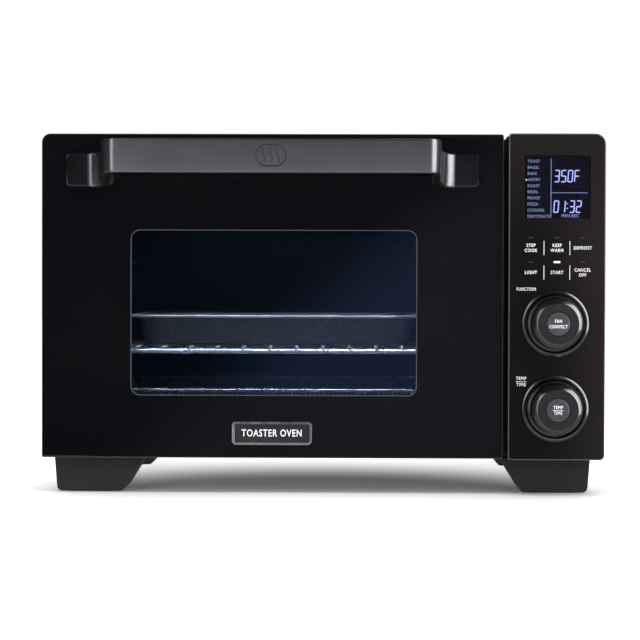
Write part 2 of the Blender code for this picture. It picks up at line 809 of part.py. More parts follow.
def control_panel():
    rear = FRAME_FRONT - GAP
    levels = (
        (0.0008, PANEL_FRONT),
        (0.0, PANEL_FRONT + 0.0008),
        (0.0, rear),
        (PANEL_WALL, rear),
        (PANEL_WALL, PANEL_FRONT + PANEL_WALL),
    )
    panel = loft("control_panel", [ring_at(panel_outline(i), y, "Y") for i, y in levels], plastic())
    holes = [circle(KNOB_X, z, 0.0070, 16) for z in KNOB_Z.values()]
    holes.append(rounded_rect(LCD_X[0], LCD_X[1], LCD_Z[0], LCD_Z[1], 0.0015, 2))
    cutter = prisms("panel_hole_cutter", holes, PANEL_FRONT - 0.01, PANEL_FRONT + 0.01, "Y")
    boolean(panel, cutter, "DIFFERENCE")


def display():
    x0, x1 = LCD_X
    z0, z1 = LCD_Z
    shape = rounded_rect(x0 + GAP, x1 - GAP, z0 + GAP, z1 - GAP, 0.0013, 2)
    lens = material("lcd_lens", (0.01, 0.012, 0.03), 0.08, 0.0, 0.7)
    near = PANEL_FRONT + 0.0002
    prism("lcd_lens", [shape], near, near + 0.0015, "Y", lens)
    glass = rounded_rect(x0 + 0.001, x1 - 0.001, z0 + 0.001, z1 - 0.001, 0.001, 2)
    near += 0.0015 + GAP
    prism("lcd_module", [glass], near, near + 0.0050, "Y", material("lcd", (0.01, 0.02, 0.08), 0.3))
    near += 0.0050 + GAP
    outline = rounded_rect(0.1625, 0.2345, 0.1820, 0.2960, 0.002, 2)
    prism("control_board", [outline], near, near + 0.0016, "Y", board())


def knob(name, z):
    """A knob with a push button in its middle, and the encoder behind the panel that reads both."""
    centre = (KNOB_X, z)
    seat = PANEL_FRONT - GAP
    bezel = (
        (0.0283, seat),
        (0.0283, seat - 0.0020),
        (0.0268, seat - 0.0040),
        (0.0252, seat - 0.0040),
        (0.0214, seat - 0.0022),
        (0.0214, seat),
    )
    metal = material("satin_black_metal", (0.05, 0.05, 0.055), 0.35, 0.8)
    turned("knob_bezel_" + name, bezel, centre, "Y", metal, 28)
    front = HANDLE_FRONT + 0.0006
    rear = seat - 0.0006
    grip = (
        (0.0208, rear),
        (0.0203, front + 0.0030),
        (0.0173, front),
        (0.0103, front),
        (0.0103, front + 0.0080),
        (0.0034, front + 0.0080),
        (0.0034, front + 0.0135),
        (0.0058, front + 0.0135),
        (0.0058, rear),
    )
    body = turned("knob_" + name, grip, centre, "Y", metal, 28)
    cap_front = front - 0.0004
    cap = (
        (0.0, cap_front),
        (0.0090, cap_front),
        (0.0099, cap_front + 0.0008),
        (0.0099, cap_front + 0.0050),
        (0.0029, cap_front + 0.0055),
        (0.0029, PANEL_FRONT + 0.0040),
        (0.0, PANEL_FRONT + 0.0040),
    )
    cap_look = material("knob_cap", (0.12, 0.12, 0.13), 0.3, 0.7)
    button = turned("knob_button_" + name, cap, centre, "Y", cap_look, 20)
    tube_front = front + 0.0145
    base = PANEL_FRONT + 0.0060
    encoder = (
        (0.0055, tube_front),
        (0.0055, base),
        (0.0110, base),
        (0.0110, base + 0.0070),
        (0.0, base + 0.0070),
        (0.0, base + 0.0002),
        (0.0032, base + 0.0002),
        (0.0032, tube_front),
    )
    turned("encoder_" + name, encoder, centre, "Y", steel(), 16)
    hang([body, button], "knob_axis_" + name, (KNOB_X, rear, z))


def power_board():
    """A board on the right-hand side with its relay and its transformer soldered on."""
    face = 0.2200
    outline = rounded_rect(-0.110, 0.030, 0.060, 0.210, 0.003, 2)
    base = prism("power_board", [outline], face, face + 0.0016, "X", board())
    parts = bmesh.new()
    for low_y, high_y, low_z, high_z, tall in (
        (-0.090, -0.060, 0.150, 0.166, 0.016),
        (-0.040, 0.004, 0.075, 0.113, 0.034),
        (-0.095, -0.075, 0.080, 0.090, 0.012),
    ):
        block = rounded_rect(low_y, high_y, low_z, high_z, 0.0015, 2)
        add_prism(parts, [block], face - tall, face + 0.0008, "X")
    boolean(base, solid("board_parts_helper", parts, board(), smooth=False), "UNION")


# ---------------------------------------------------------------- assembly


def build():
    clear_scene()
    outer_cover()
    rear_cover()
    rear_bumpers()
    cord_gland()
    base_plate()
    front_frame()
    door_seal()
    feet()
    cavity_liner()
    rack_guides()
    heaters()
    trays()
    wire_rack()
    convection()
    lamp_and_probe()
    heat_shield()
    door()
    control_panel()
    display()
    for name, z in KNOB_Z.items():
        knob(name, z)
    power_board()


build()
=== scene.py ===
"""Finished look of the toaster oven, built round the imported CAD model.

Metres, +Z up, front towards -Y.
"""

import math
from functools import partial

import bmesh
import bpy
from mathutils import Matrix, Vector
from mathutils.geometry import tessellate_polygon

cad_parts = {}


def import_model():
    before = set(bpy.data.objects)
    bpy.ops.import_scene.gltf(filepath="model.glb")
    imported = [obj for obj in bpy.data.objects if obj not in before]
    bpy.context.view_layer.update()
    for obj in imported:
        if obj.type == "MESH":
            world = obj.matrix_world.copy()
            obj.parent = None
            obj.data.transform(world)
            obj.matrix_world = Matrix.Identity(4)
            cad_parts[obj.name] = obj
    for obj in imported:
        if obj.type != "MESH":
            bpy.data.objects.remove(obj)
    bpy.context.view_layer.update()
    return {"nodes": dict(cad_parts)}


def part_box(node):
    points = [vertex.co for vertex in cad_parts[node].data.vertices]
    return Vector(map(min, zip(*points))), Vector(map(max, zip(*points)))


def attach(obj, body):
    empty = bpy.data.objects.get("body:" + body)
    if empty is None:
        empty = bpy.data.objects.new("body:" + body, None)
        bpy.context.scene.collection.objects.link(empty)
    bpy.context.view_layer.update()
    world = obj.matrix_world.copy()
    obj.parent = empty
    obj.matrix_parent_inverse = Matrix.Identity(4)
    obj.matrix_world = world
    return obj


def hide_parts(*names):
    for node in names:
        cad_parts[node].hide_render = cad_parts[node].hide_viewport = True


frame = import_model()
nodes = frame["nodes"]
scene = bpy.context.scene

# ---------------- node materials


class Tree:
    """Short ways to add nodes to a node tree."""

    def __init__(self, tree):
        self.tree = tree

    def node(self, kind, operation=None, **values):
        new = self.tree.nodes.new(kind)
        if operation:
            new.operation = operation
        for socket, value in values.items():
            new.inputs[socket].default_value = value
        return new

    def link(self, output, socket):
        self.tree.links.new(output, socket)

    def part(self, vector, axis):
        """One of the three numbers of a vector."""
        apart = self.node("ShaderNodeSeparateXYZ")
        self.link(vector, apart.inputs["Vector"])
        return apart.outputs[axis]

    def ramp(self, value, low, high, start=0.0, end=1.0, kind="SMOOTHSTEP"):
        new = self.node("ShaderNodeMapRange")
        new.interpolation_type = kind
        for socket, number in zip(("From Min", "From Max", "To Min", "To Max"), (low, high, start, end)):
            new.inputs[socket].default_value = number
        self.link(value, new.inputs["Value"])
        return new.outputs["Result"]

    def blend(self, a, b, factor):
        """Goes from a to b as factor goes from 0 to 1; each is a colour or what a node gives."""
        new = self.node("ShaderNodeMix")
        new.data_type = "RGBA"
        for socket, value in (("A", a), ("B", b)):
            if isinstance(value, tuple):
                new.inputs[socket].default_value = (*value, 1.0)
            else:
                self.link(value, new.inputs[socket])
        self.link(factor, new.inputs["Factor"])
        return new.outputs["Result"]


class Look(Tree):
    """A Principled material with procedural colour, roughness and relief."""

    def __init__(self, name, colour, roughness, metallic=0.0, specular=0.5):
        self.material = bpy.data.materials.new(name)
        self.material.use_nodes = True
        super().__init__(self.material.node_tree)
        self.shader = self.tree.nodes["Principled BSDF"]
        self.colour = colour
        self.set("Base Color", (*colour, 1.0))
        self.set("Roughness", roughness)
        self.set("Metallic", metallic)
        self.set("Specular IOR Level", specular)
        self.where = self.node("ShaderNodeTexCoord").outputs["Object"]
        self.height = None

    def set(self, socket, value):
        self.shader.inputs[socket].default_value = value

    def noise(self, scale, detail=4.0):
        new = self.node("ShaderNodeTexNoise", Scale=scale, Detail=detail, Roughness=0.55)
        self.link(self.where, new.inputs["Vector"])
        return new.outputs["Fac"]

    def along(self, axis):
        """How far a point lies along one axis of the object, in metres."""
        return self.part(self.where, axis)

    def brushed(self, amount):
        """Brush lines that run level round the object, so highlights stretch up and down."""
        tangent = self.node("ShaderNodeTangent")
        tangent.direction_type = "RADIAL"
        tangent.axis = "Z"
        self.link(tangent.outputs["Tangent"], self.shader.inputs["Tangent"])
        self.set("Anisotropic", amount)
        self.set("Anisotropic Rotation", 0.25)
        return self

    def mix(self, factor, other):
        """Mixes another colour over the present one where factor is 1."""
        socket = self.shader.inputs["Base Color"]
        present = socket.links[0].from_socket if socket.links else self.colour
        self.link(self.blend(present, other, factor), socket)
        return self

    def vary(self, scale, other, low=0.35, high=0.7):
        return self.mix(self.ramp(self.noise(scale), low, high), other)

    def wear(self, scale, low, high):
        """Lets the roughness wander between two values."""
        value = self.ramp(self.noise(scale), 0.3, 0.7, low, high)
        self.link(value, self.shader.inputs["Roughness"])
        return self

    def relief(self, value, depth):
        """Adds a bump of a real depth in metres."""
        bump = self.node("ShaderNodeBump", Strength=1.0, Distance=depth)
        self.link(value, bump.inputs["Height"])
        if self.height is not None:
            self.link(self.height, bump.inputs["Normal"])
        self.height = bump.outputs["Normal"]
        self.link(self.height, self.shader.inputs["Normal"])
        return self

    def grain(self, scale, depth):
        return self.relief(self.noise(scale, 3.0), depth)


looks = {}


def add_look(name, colour, roughness, metallic=0.0, specular=0.5):
    look = Look(name, colour, roughness, metallic, specular)
    looks[name] = look.material
    return look


def add_glass(name, tint, mirror_tint, mirror):
    """Clear glass: what is behind shows through tinted, and it mirrors more towards its edges."""
    roughness = 0.02
    look = add_look(name, (0.8, 0.8, 0.8), roughness)
    tree = look.tree
    tree.nodes.remove(look.shader)
    clear = look.node("ShaderNodeBsdfTransparent", Color=(*tint, 1.0))
    shine = look.node("ShaderNodeBsdfGlossy", Color=(*mirror_tint, 1.0))
    look.link(look.ramp(look.noise(9.0), 0.4, 0.7, roughness, roughness * 1.8), shine.inputs["Roughness"])
    weight = look.node("ShaderNodeLayerWeight")
    steep = look.node("ShaderNodeMath", "POWER")
    steep.inputs[1].default_value = 5.0
    look.link(weight.outputs["Facing"], steep.inputs[0])
    both = look.node("ShaderNodeMixShader")
    look.link(look.ramp(steep.outputs["Value"], 0.0, 1.0, mirror, 1.0, "LINEAR"), both.inputs["Fac"])
    look.link(clear.outputs["BSDF"], both.inputs[1])
    look.link(shine.outputs["BSDF"], both.inputs[2])
    look.link(both.outputs["Shader"], tree.nodes["Material Output"].inputs["Surface"])


def door_looks():
    ink = add_look("glass_print", (0.0026, 0.0021, 0.003), 0.02)
    ink.vary(6.0, (0.0036, 0.003, 0.0038)).wear(14.0, 0.015, 0.026)
    line = add_look("window_line", (0.045, 0.055, 0.075), 0.3).vary(40.0, (0.06, 0.07, 0.09))
    line.grain(900.0, 0.00002)
    # painted highlight: the pane's rounded edge is given a lighter colour so that it shows as a thin light
    # line
    edge = add_look("glass_edge_highlight", (0.06, 0.062, 0.066), 0.3)
    edge.vary(50.0, (0.075, 0.076, 0.08)).grain(1800.0, 0.00001)
    satin = add_look("satin_black", (0.4, 0.405, 0.425), 0.36, metallic=1.0)
    satin.vary(30.0, (0.36, 0.365, 0.385)).wear(26.0, 0.34, 0.38).grain(2600.0, 0.000003).brushed(0.85)
    # painted shade: the tabs are a much darker copy of the strap's metal, standing in for the shade on them
    shaded_tab = add_look("tab_painted_shade", (0.045, 0.046, 0.052), 0.14, metallic=0.9)
    shaded_tab.vary(30.0, (0.036, 0.037, 0.042)).wear(26.0, 0.1, 0.16).grain(2600.0, 0.000003)
    plate = add_look("badge_metal_look", (0.4, 0.41, 0.43), 0.3, metallic=0.9)
    plate.vary(90.0, (0.32, 0.33, 0.35)).wear(200.0, 0.24, 0.4).grain(3000.0, 0.000005)
    recess = add_look("badge_recess", (0.018, 0.017, 0.018), 0.45, metallic=0.2)
    recess.vary(120.0, (0.026, 0.025, 0.026)).grain(2200.0, 0.00001)


def panel_looks():
    gloss = add_look("panel_gloss", (0.0044, 0.0034, 0.0037), 0.16, specular=0.28)
    # painted light: a little lighter towards the right edge and the top, where more light falls
    gloss.mix(gloss.ramp(gloss.along("X"), 0.18, 0.24), (0.012, 0.0094, 0.0092))
    gloss.mix(gloss.ramp(gloss.along("Z"), 0.21, 0.308), (0.01, 0.008, 0.0078))
    gloss.wear(11.0, 0.13, 0.21).grain(1600.0, 0.000004)
    # painted highlight: the panel's rounded edge is given a lighter colour so that it shows as a thin light
    # line
    rim = add_look("panel_edge_highlight", (0.075, 0.07, 0.07), 0.3)
    rim.vary(50.0, (0.09, 0.084, 0.082)).grain(1600.0, 0.00001)
    lathe = add_look("turned_black", (0.27, 0.268, 0.27), 0.2, metallic=1.0)
    lathe.vary(60.0, (0.225, 0.222, 0.223)).wear(40.0, 0.17, 0.25).grain(2400.0, 0.000002)
    face = add_look("knob_face", (0.016, 0.016, 0.0185), 0.42, metallic=0.3)
    face.vary(90.0, (0.02, 0.02, 0.023)).wear(60.0, 0.38, 0.5).grain(3000.0, 0.000008)
    cap = add_look("cap_grey", (0.1, 0.1, 0.106), 0.32, metallic=0.6)
    cap.vary(80.0, (0.085, 0.085, 0.09)).wear(90.0, 0.32, 0.44).grain(3400.0, 0.000006)
    ink = add_look("white_print", (0.86, 0.86, 0.88), 0.5)
    ink.vary(300.0, (0.76, 0.76, 0.78)).grain(2000.0, 0.00001)
    faint = add_look("unlit_lamp", (0.036, 0.026, 0.028), 0.4)
    faint.vary(300.0, (0.028, 0.02, 0.022)).grain(2000.0, 0.00001)


def display_looks():
    liquid = add_look("lcd_back", (0.003, 0.003, 0.0075), 0.25, specular=0.15)
    liquid.vary(40.0, (0.0045, 0.0045, 0.0105)).grain(2500.0, 0.000004)
    for name, colour, power in (
        ("lcd_glow", (0.42, 0.48, 0.92), 1.5),
        ("lcd_line", (0.36, 0.4, 0.78), 1.1),
        ("lcd_dim", (0.34, 0.42, 0.66), 1.0),
        ("lcd_white", (0.9, 0.92, 1.0), 1.4),
        ("led_white", (0.9, 0.92, 1.0), 1.4),
    ):
        glow = add_look(name, (0.02, 0.02, 0.04), 0.5)
        glow.vary(300.0, (0.03, 0.03, 0.05))
        glow.set("Emission Color", (*colour, 1.0))
        glow.set("Emission Strength", power)


def housing_looks():
    paint = add_look("cover_paint", (0.0125, 0.012, 0.0125), 0.38)
    paint.vary(9.0, (0.014, 0.0135, 0.014)).wear(30.0, 0.39, 0.405)
    paint.relief(paint.ramp(paint.noise(1500.0, 2.0), 0.3, 0.7), 0.00002)
    black = add_look("black_plastic_look", (0.022, 0.0205, 0.021), 0.5)
    black.vary(12.0, (0.029, 0.027, 0.028)).wear(20.0, 0.44, 0.58)
    black.relief(black.ramp(black.noise(2400.0, 2.0), 0.35, 0.65), 0.00003)
    foot = add_look("foot_plastic", (0.019, 0.0165, 0.018), 0.5, specular=0.3)
    foot.vary(16.0, (0.026, 0.023, 0.025)).wear(20.0, 0.46, 0.58)
    foot.relief(foot.ramp(foot.noise(2400.0, 2.0), 0.35, 0.65), 0.00002)
    rubber = add_look("rubber_look", (0.014, 0.014, 0.0145), 0.8, specular=0.3)
    rubber.vary(40.0, (0.02, 0.02, 0.02)).grain(1800.0, 0.00004)
    screw = add_look("screw_black", (0.06, 0.06, 0.064), 0.36, metallic=0.7)
    screw.vary(300.0, (0.085, 0.083, 0.085)).wear(200.0, 0.3, 0.46)


def cavity_looks():
    # dark enamel, painted still darker and bluer as painted shade of the dim cavity behind the tinted door;
    # the fine flecks are the enamel's own
    enamel = add_look("cavity_enamel_painted_shade", (0.0009, 0.0017, 0.0045), 0.28, specular=0.05)
    enamel.vary(14.0, (0.0013, 0.0023, 0.0056)).wear(10.0, 0.24, 0.4)
    enamel.mix(enamel.ramp(enamel.noise(1300.0, 1.0), 0.66, 0.72), (0.006, 0.008, 0.012))
    dish = add_look("pan_enamel_look", (0.047, 0.047, 0.048), 0.36)
    dish.vary(22.0, (0.06, 0.06, 0.061)).wear(16.0, 0.3, 0.46)
    dish.mix(dish.ramp(dish.noise(620.0, 2.0), 0.6, 0.66), (0.12, 0.125, 0.13)).grain(800.0, 0.00003)
    # painted highlight: the pan's rim is a lighter copy of its enamel, so that it shows as a bright line
    lit_lip = add_look("pan_lip_highlight", (0.3, 0.31, 0.33), 0.34, metallic=0.4)
    lit_lip.vary(60.0, (0.24, 0.25, 0.27)).grain(900.0, 0.00002)
    chrome = add_look("rack_wire", (0.9, 0.91, 0.93), 0.3, metallic=0.75)
    chrome.vary(60.0, (0.82, 0.84, 0.87)).wear(90.0, 0.24, 0.36)
    mesh = add_look("basket_wire", (0.6, 0.63, 0.68), 0.3, metallic=0.9)
    mesh.vary(70.0, (0.45, 0.48, 0.53)).wear(120.0, 0.24, 0.4)
    sheath = add_look("heater_sheath_look", (0.085, 0.078, 0.072), 0.5, metallic=0.6)
    sheath.vary(55.0, (0.13, 0.1, 0.085)).wear(70.0, 0.42, 0.62).grain(1800.0, 0.00002)
    stone = add_look("ceramic_look", (0.7, 0.67, 0.6), 0.55)
    stone.vary(60.0, (0.6, 0.57, 0.5)).grain(1500.0, 0.00003)
    lamp = add_look("lamp_glass_look", (0.55, 0.55, 0.52), 0.22, specular=0.6)
    lamp.vary(80.0, (0.45, 0.45, 0.43)).grain(240.0, 0.0002)


def inner_looks():
    sheet = add_look("zinc_sheet", (0.42, 0.43, 0.44), 0.4, metallic=0.9)
    sheet.vary(160.0, (0.33, 0.34, 0.36), 0.42, 0.56).wear(150.0, 0.34, 0.5).grain(1400.0, 0.000008)
    dark = add_look("dark_steel_look", (0.05, 0.05, 0.054), 0.42, metallic=0.6)
    dark.vary(24.0, (0.068, 0.066, 0.068)).wear(30.0, 0.36, 0.52).grain(2000.0, 0.00001)
    board = add_look("board_look", (0.012, 0.085, 0.04), 0.36)
    board.vary(120.0, (0.02, 0.12, 0.055), 0.45, 0.55).grain(900.0, 0.00003)


def glass_looks():
    add_glass("window_clear", (0.84, 0.88, 0.93), (0.35, 0.55, 1.0), 0.075)
    add_glass("inner_clear", (0.93, 0.95, 0.97), (0.5, 0.7, 1.0), 0.03)
    add_glass("display_clear", (0.9, 0.9, 0.94), (1.0, 0.95, 0.95), 0.012)


# ---------------- shapes


def place(u, v, w, axis):
    """A point from its two outline coordinates and its distance along an axis."""
    if axis == "X":
        return Vector((w, u, v))
    if axis == "Y":
        return Vector((u, w, v))
    return Vector((u, v, w))


def arc(centre_u, centre_v, radius, start, end, steps):
    angles = [math.radians(start + (end - start) * i / steps) for i in range(steps + 1)]
    return [(centre_u + radius * math.cos(a), centre_v + radius * math.sin(a)) for a in angles]


def rounded_rect(u0, u1, v0, v1, radius, steps=8):
    """radius is one number, or four: lower left, lower right, upper right, upper left."""
    radii = radius if isinstance(radius, tuple) else (radius,) * 4
    corners = ((u0, v0, 1, 1, 180), (u1, v0, -1, 1, 270), (u1, v1, -1, -1, 0), (u0, v1, 1, -1, 90))
    points = []
    for (u, v, du, dv, start), r in zip(corners, radii):
        points += arc(u + du * r, v + dv * r, r, start, start + 90, steps)
    return points


def circle(u, v, radius, sides=48):
    return arc(u, v, radius, 0, 360, sides)[:-1]


def ring_at(outline, w, axis="Y"):
    return [place(u, v, w, axis) for u, v in outline]


def add_cap(bm, loops, w, axis="Y", index=0):
    """A flat face with holes."""
    points = [bm.verts.new(place(u, v, w, axis)) for loop in loops for u, v in loop]
    for triangle in tessellate_polygon([[Vector((u, v, 0)) for u, v in loop] for loop in loops]):
        bm.faces.new([points[i] for i in triangle]).material_index = index


def add_wall(bm, rings, index=0, closed=False):
    """Quads between rings with the same number of points."""
    rows = [[bm.verts.new(point) for point in ring] for ring in rings]
    pairs = list(zip(rows, rows[1:]))
    if closed:
        pairs.append((rows[-1], rows[0]))
    for low, high in pairs:
        for i in range(len(low)):
            j = (i + 1) % len(low)
            bm.faces.new((low[i], low[j], high[j], high[i])).material_index = index


def inset_rect(low, high, inset, radius, steps):
    """The outline of a box seen from the front, drawn in by inset."""
    return rounded_rect(low.x + inset, high.x - inset, low.z + inset, high.z - inset, radius, steps)


# Turns in radians at which a rounded edge is divided.
COARSE = (0.0, 0.52, 1.05, 1.57)
FINE = (0.0, 0.4, 0.8, 1.2, 1.571)


def rounding(soft, turns):
    """Pairs of inset and depth over an edge rounded by the radius soft."""
    return [(soft * (1 - math.sin(a)), soft * (1 - math.cos(a))) for a in turns]


def both_edges(near, far, soft, turns):
    """Pairs of inset and distance from one face of a plate over its rounded edges to the other."""
    steps = rounding(soft, turns)
    levels = [(inset, near + depth) for inset, depth in steps]
    return levels + [(inset, far - depth) for inset, depth in reversed(steps)]


def rings_over(outline_at, levels):
    """Rings along Y from pairs of inset and distance; outline_at(inset) gives an outline."""
    return [ring_at(outline_at(inset), y) for inset, y in levels]


def add_slab(bm, outline_at, near, far, soft):
    """A plate along Y with softened edges."""
    add_wall(bm, rings_over(outline_at, both_edges(near, far, soft, COARSE)))
    for y in (near, far):
        add_cap(bm, [outline_at(soft)], y)


def add_ends(bm, rings, index=0):
    """A face over the first and the last of some rings."""
    for ring in (rings[0], rings[-1]):
        bm.faces.new([bm.verts.new(p) for p in ring]).material_index = index


def add_turned(bm, profile, centre, axis="Y", sides=96, index=0):
    """Revolves (radius, distance) points about an axis."""
    for (r0, w0), (r1, w1) in zip(profile, profile[1:]):
        if r0 == r1 == 0:
            continue
        if r0 == 0 or r1 == 0:
            radius, w, tip = (r1, w1, w0) if r0 == 0 else (r0, w0, w1)
            hub = bm.verts.new(place(*centre, tip, axis))
            rim = [bm.verts.new(p) for p in ring_at(circle(*centre, radius, sides), w, axis)]
            for i in range(sides):
                bm.faces.new((rim[i], rim[(i + 1) % sides], hub)).material_index = index
        else:
            rings = [ring_at(circle(*centre, r, sides), w, axis) for r, w in ((r0, w0), (r1, w1))]
            add_wall(bm, rings, index)


def add_sweep(bm, path, radius, sides, closed=False):
    """A round bar along a path of points, with flat ends where it is open."""
    count = len(path)
    rows = []
    normal = None
    for i, point in enumerate(path):
        before = path[i - 1] if i or closed else point
        after = path[(i + 1) % count] if i + 1 < count or closed else point
        tangent = (after - before).normalized()
        if normal is None:
            helper = Vector((0, 0, 1)) if abs(tangent.z) < 0.9 else Vector((1, 0, 0))
            normal = tangent.cross(helper).normalized()
        normal = (normal - tangent * normal.dot(tangent)).normalized()
        other = tangent.cross(normal)
        turn = [math.tau * k / sides for k in range(sides)]
        rows.append([point + (normal * math.cos(a) + other * math.sin(a)) * radius for a in turn])
    add_wall(bm, rows, closed=closed)
    if not closed:
        add_ends(bm, rows)


def add_object(name, data):
    obj = bpy.data.objects.new(name, data)
    scene.collection.objects.link(obj)
    return obj


def made(name, bm, materials, body, stands_for=(), angle=32.0):
    """Welds a bmesh, turns it outwards and makes it a piece that rides on a body."""
    bmesh.ops.remove_doubles(bm, verts=bm.verts, dist=1e-6)
    bmesh.ops.recalc_face_normals(bm, faces=bm.faces)
    mesh = bpy.data.meshes.new(name)
    bm.to_mesh(mesh)
    bm.free()
    for look in materials:
        mesh.materials.append(looks[look])
    mesh.shade_smooth()
    mesh.set_sharp_from_angle(angle=math.radians(angle))
    obj = add_object(name, mesh)
    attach(obj, body)
    if stands_for:
        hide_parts(*stands_for)
    return obj


FONT = bpy.data.fonts.load("<builtin>")
CAPITAL = 0.73  # height of a capital in the font's own units
LETTER_SPACING = 1.14
PRINT = 0.00005  # thickness of printed marks


def add_text(bm, words, x, y, z, tall, wide, thick=PRINT, bold=0.0, align="CENTER"):
    """Raised letters on an upright face that looks towards -Y; tall is the height of a capital."""
    curve = bpy.data.curves.new("words", "FONT")
    curve.body = words
    curve.font = FONT
    curve.size = tall / CAPITAL
    curve.align_x = align
    curve.align_y = "CENTER"
    curve.space_character = LETTER_SPACING
    curve.extrude = thick / 2
    curve.offset = bold
    curve.resolution_u = 3
    helper = add_object("words", curve)
    graph = bpy.context.evaluated_depsgraph_get()
    mesh = bpy.data.meshes.new_from_object(helper.evaluated_get(graph))
    upright = Matrix.Translation((x, y - thick / 2, z)) @ Matrix.Rotation(math.pi / 2, 4, "X")
    mesh.transform(upright @ Matrix.Diagonal((wide, 1.0, 1.0, 1.0)))
    bm.from_mesh(mesh)
    bpy.data.objects.remove(helper)


def add_block(bm, x0, x1, z0, z1, y, thick=PRINT, radius=0.0):
    """A thin printed patch on an upright face."""
    radius = radius or min(x1 - x0, z1 - z0) * 0.2
    add_prism(bm, rounded_rect(x0, x1, z0, z1, radius, 3), y, thick)


def add_prism(bm, outline, y, thick):
    """An outline drawn out from y towards the front."""
    for level in (y - thick, y):
        add_cap(bm, [outline], level)
    add_wall(bm, [ring_at(outline, y - thick), ring_at(outline, y)])


def finish_node(name, look):
    """Gives a CAD node that stays visible its finished material."""
    obj = nodes[name]
    obj.data.materials.clear()
    obj.data.materials.append(looks[look])


# ---------------- door

# Below the first step of the edge rounding, so that the rounding leaves the shading of flat faces alone.
FLAT = 10.0
GLASS_LOW, GLASS_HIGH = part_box("door_outer_glass")
DOOR_MID = (GLASS_LOW.x + GLASS_HIGH.x) / 2
# left, right, bottom, top
WINDOW = (DOOR_MID - 0.1212, DOOR_MID + 0.1238, 0.0842, 0.2262)


def window_outline(inset, radius=0.0082):
    x0, x1, z0, z1 = WINDOW
    return rounded_rect(x0 + inset, x1 - inset, z0 + inset, z1 - inset, radius - inset, 10)


def door_glass():
    """One pane: black print round a clear window, with a fine printed line between them."""

    def outline(inset):
        return inset_rect(GLASS_LOW, GLASS_HIGH, inset, (0.0014, 0.0014, 0.0018, 0.0074 - inset), 10)

    front, rear = GLASS_LOW.y, GLASS_HIGH.y
    line = 0.0007
    soft = 0.0005
    bm = bmesh.new()
    # the rounded edge round the pane takes the painted highlight colour
    add_wall(bm, rings_over(outline, both_edges(front, rear, soft, FINE)), 3)
    for y in (front, rear):
        add_cap(bm, [outline(soft), window_outline(0.0)], y)
        add_cap(bm, [window_outline(0.0), window_outline(line)], y, index=1)
        add_cap(bm, [window_outline(line)], y, index=2)
    materials = ("glass_print", "window_line", "window_clear", "glass_edge_highlight")
    made("door_glass", bm, materials, "door", ("door_outer_glass",), FLAT)


STRAP = 0.007
HANDLE_TALL = 0.029
HANDLE_DROP = 0.0108
LEG_X = 0.14
TIGHT_BEND = 0.0085
WIDE_BEND = 0.018
BEND_STEP = 5.0
BEND_STEPS = 18
CORNER = 0.0032
CORNER_STEPS = 8
# The tabs' darker look, which is painted shade, ends two steps into the wide bend.
TAB_RINGS = CORNER_STEPS + 3
# The strap's face lies back by this much, so that the mark on it stays inside the CAD box.
MARK_ROOM = 0.0003
CROWN = 0.001
CROWN_LINE = 0.55


def strap_line(half_wide, bar_y, tab_y):
    """Places along the strap: x from the door's middle, y, turn in degrees, and trim at its corners."""
    half = [(0.02 * i, bar_y, 0.0, 0.0) for i in range(7)]
    for i in range(BEND_STEPS + 1):
        a = math.radians(BEND_STEP * i)
        x = LEG_X - TIGHT_BEND + TIGHT_BEND * math.sin(a)
        half.append((x, bar_y + TIGHT_BEND * (1 - math.cos(a)), BEND_STEP * i, 0.0))
    for i in range(BEND_STEPS, -1, -1):
        a = math.radians(BEND_STEP * i)
        x = LEG_X + WIDE_BEND - WIDE_BEND * math.sin(a)
        half.append((x, tab_y - WIDE_BEND * (1 - math.cos(a)), BEND_STEP * i, 0.0))
    for i in range(CORNER_STEPS + 1):
        a = math.pi / 2 * i / CORNER_STEPS
        x = half_wide - CORNER + CORNER * math.sin(a)
        half.append((x, tab_y, 0.0, CORNER * (1 - math.cos(a))))
    return [(-x, y, -turn, trim) for x, y, turn, trim in reversed(half[1:])] + half


def strap_section(tall):
    """The strap's section about its middle; its face is crowned and curves back towards its bottom."""
    section = rounded_rect(MARK_ROOM - STRAP / 2, STRAP / 2, -tall, tall, 0.0012, 4)
    front = section[-1][0]
    section += [(front, tall * (0.8 - 0.16 * i)) for i in range(11)]
    crowned = []
    for u, v in section:
        away = (v / tall - CROWN_LINE) / (1 + CROWN_LINE)
        crowned.append((u + CROWN * away * away if u < 0 else u, v))
    return crowned


def handle():
    """A flat strap bent to a bar with a tab at each end, its corners rounded; its tabs are painted in shade.
    """
    low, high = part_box("door_handle")
    bar_y = low.y + STRAP / 2
    tab_y = high.y - STRAP / 2
    bar_z = high.z - HANDLE_TALL / 2
    rings = []
    for x, y, turn, trim in strap_line((high.x - low.x) / 2, bar_y, tab_y):
        tilt = math.radians(turn)
        part = (y - bar_y) / (tab_y - bar_y)
        drop = HANDLE_DROP * part * part * (3 - 2 * part)
        across = Vector((-math.sin(tilt), math.cos(tilt), 0.0))
        middle = Vector((DOOR_MID + x, y, bar_z - drop))
        section = strap_section(HANDLE_TALL / 2 - trim)
        rings.append([middle + across * u + Vector((0.0, 0.0, v)) for u, v in section])
    bm = bmesh.new()
    add_wall(bm, rings[: TAB_RINGS + 1], 1)
    add_wall(bm, rings[TAB_RINGS:-TAB_RINGS])
    add_wall(bm, rings[-TAB_RINGS - 1 :], 1)
    add_ends(bm, rings, 1)
    materials = ("satin_black", "tab_painted_shade")
    made("handle_strap", bm, materials, "door", ("door_handle",), 50.0)
    handle_mark(low.y, bar_z)


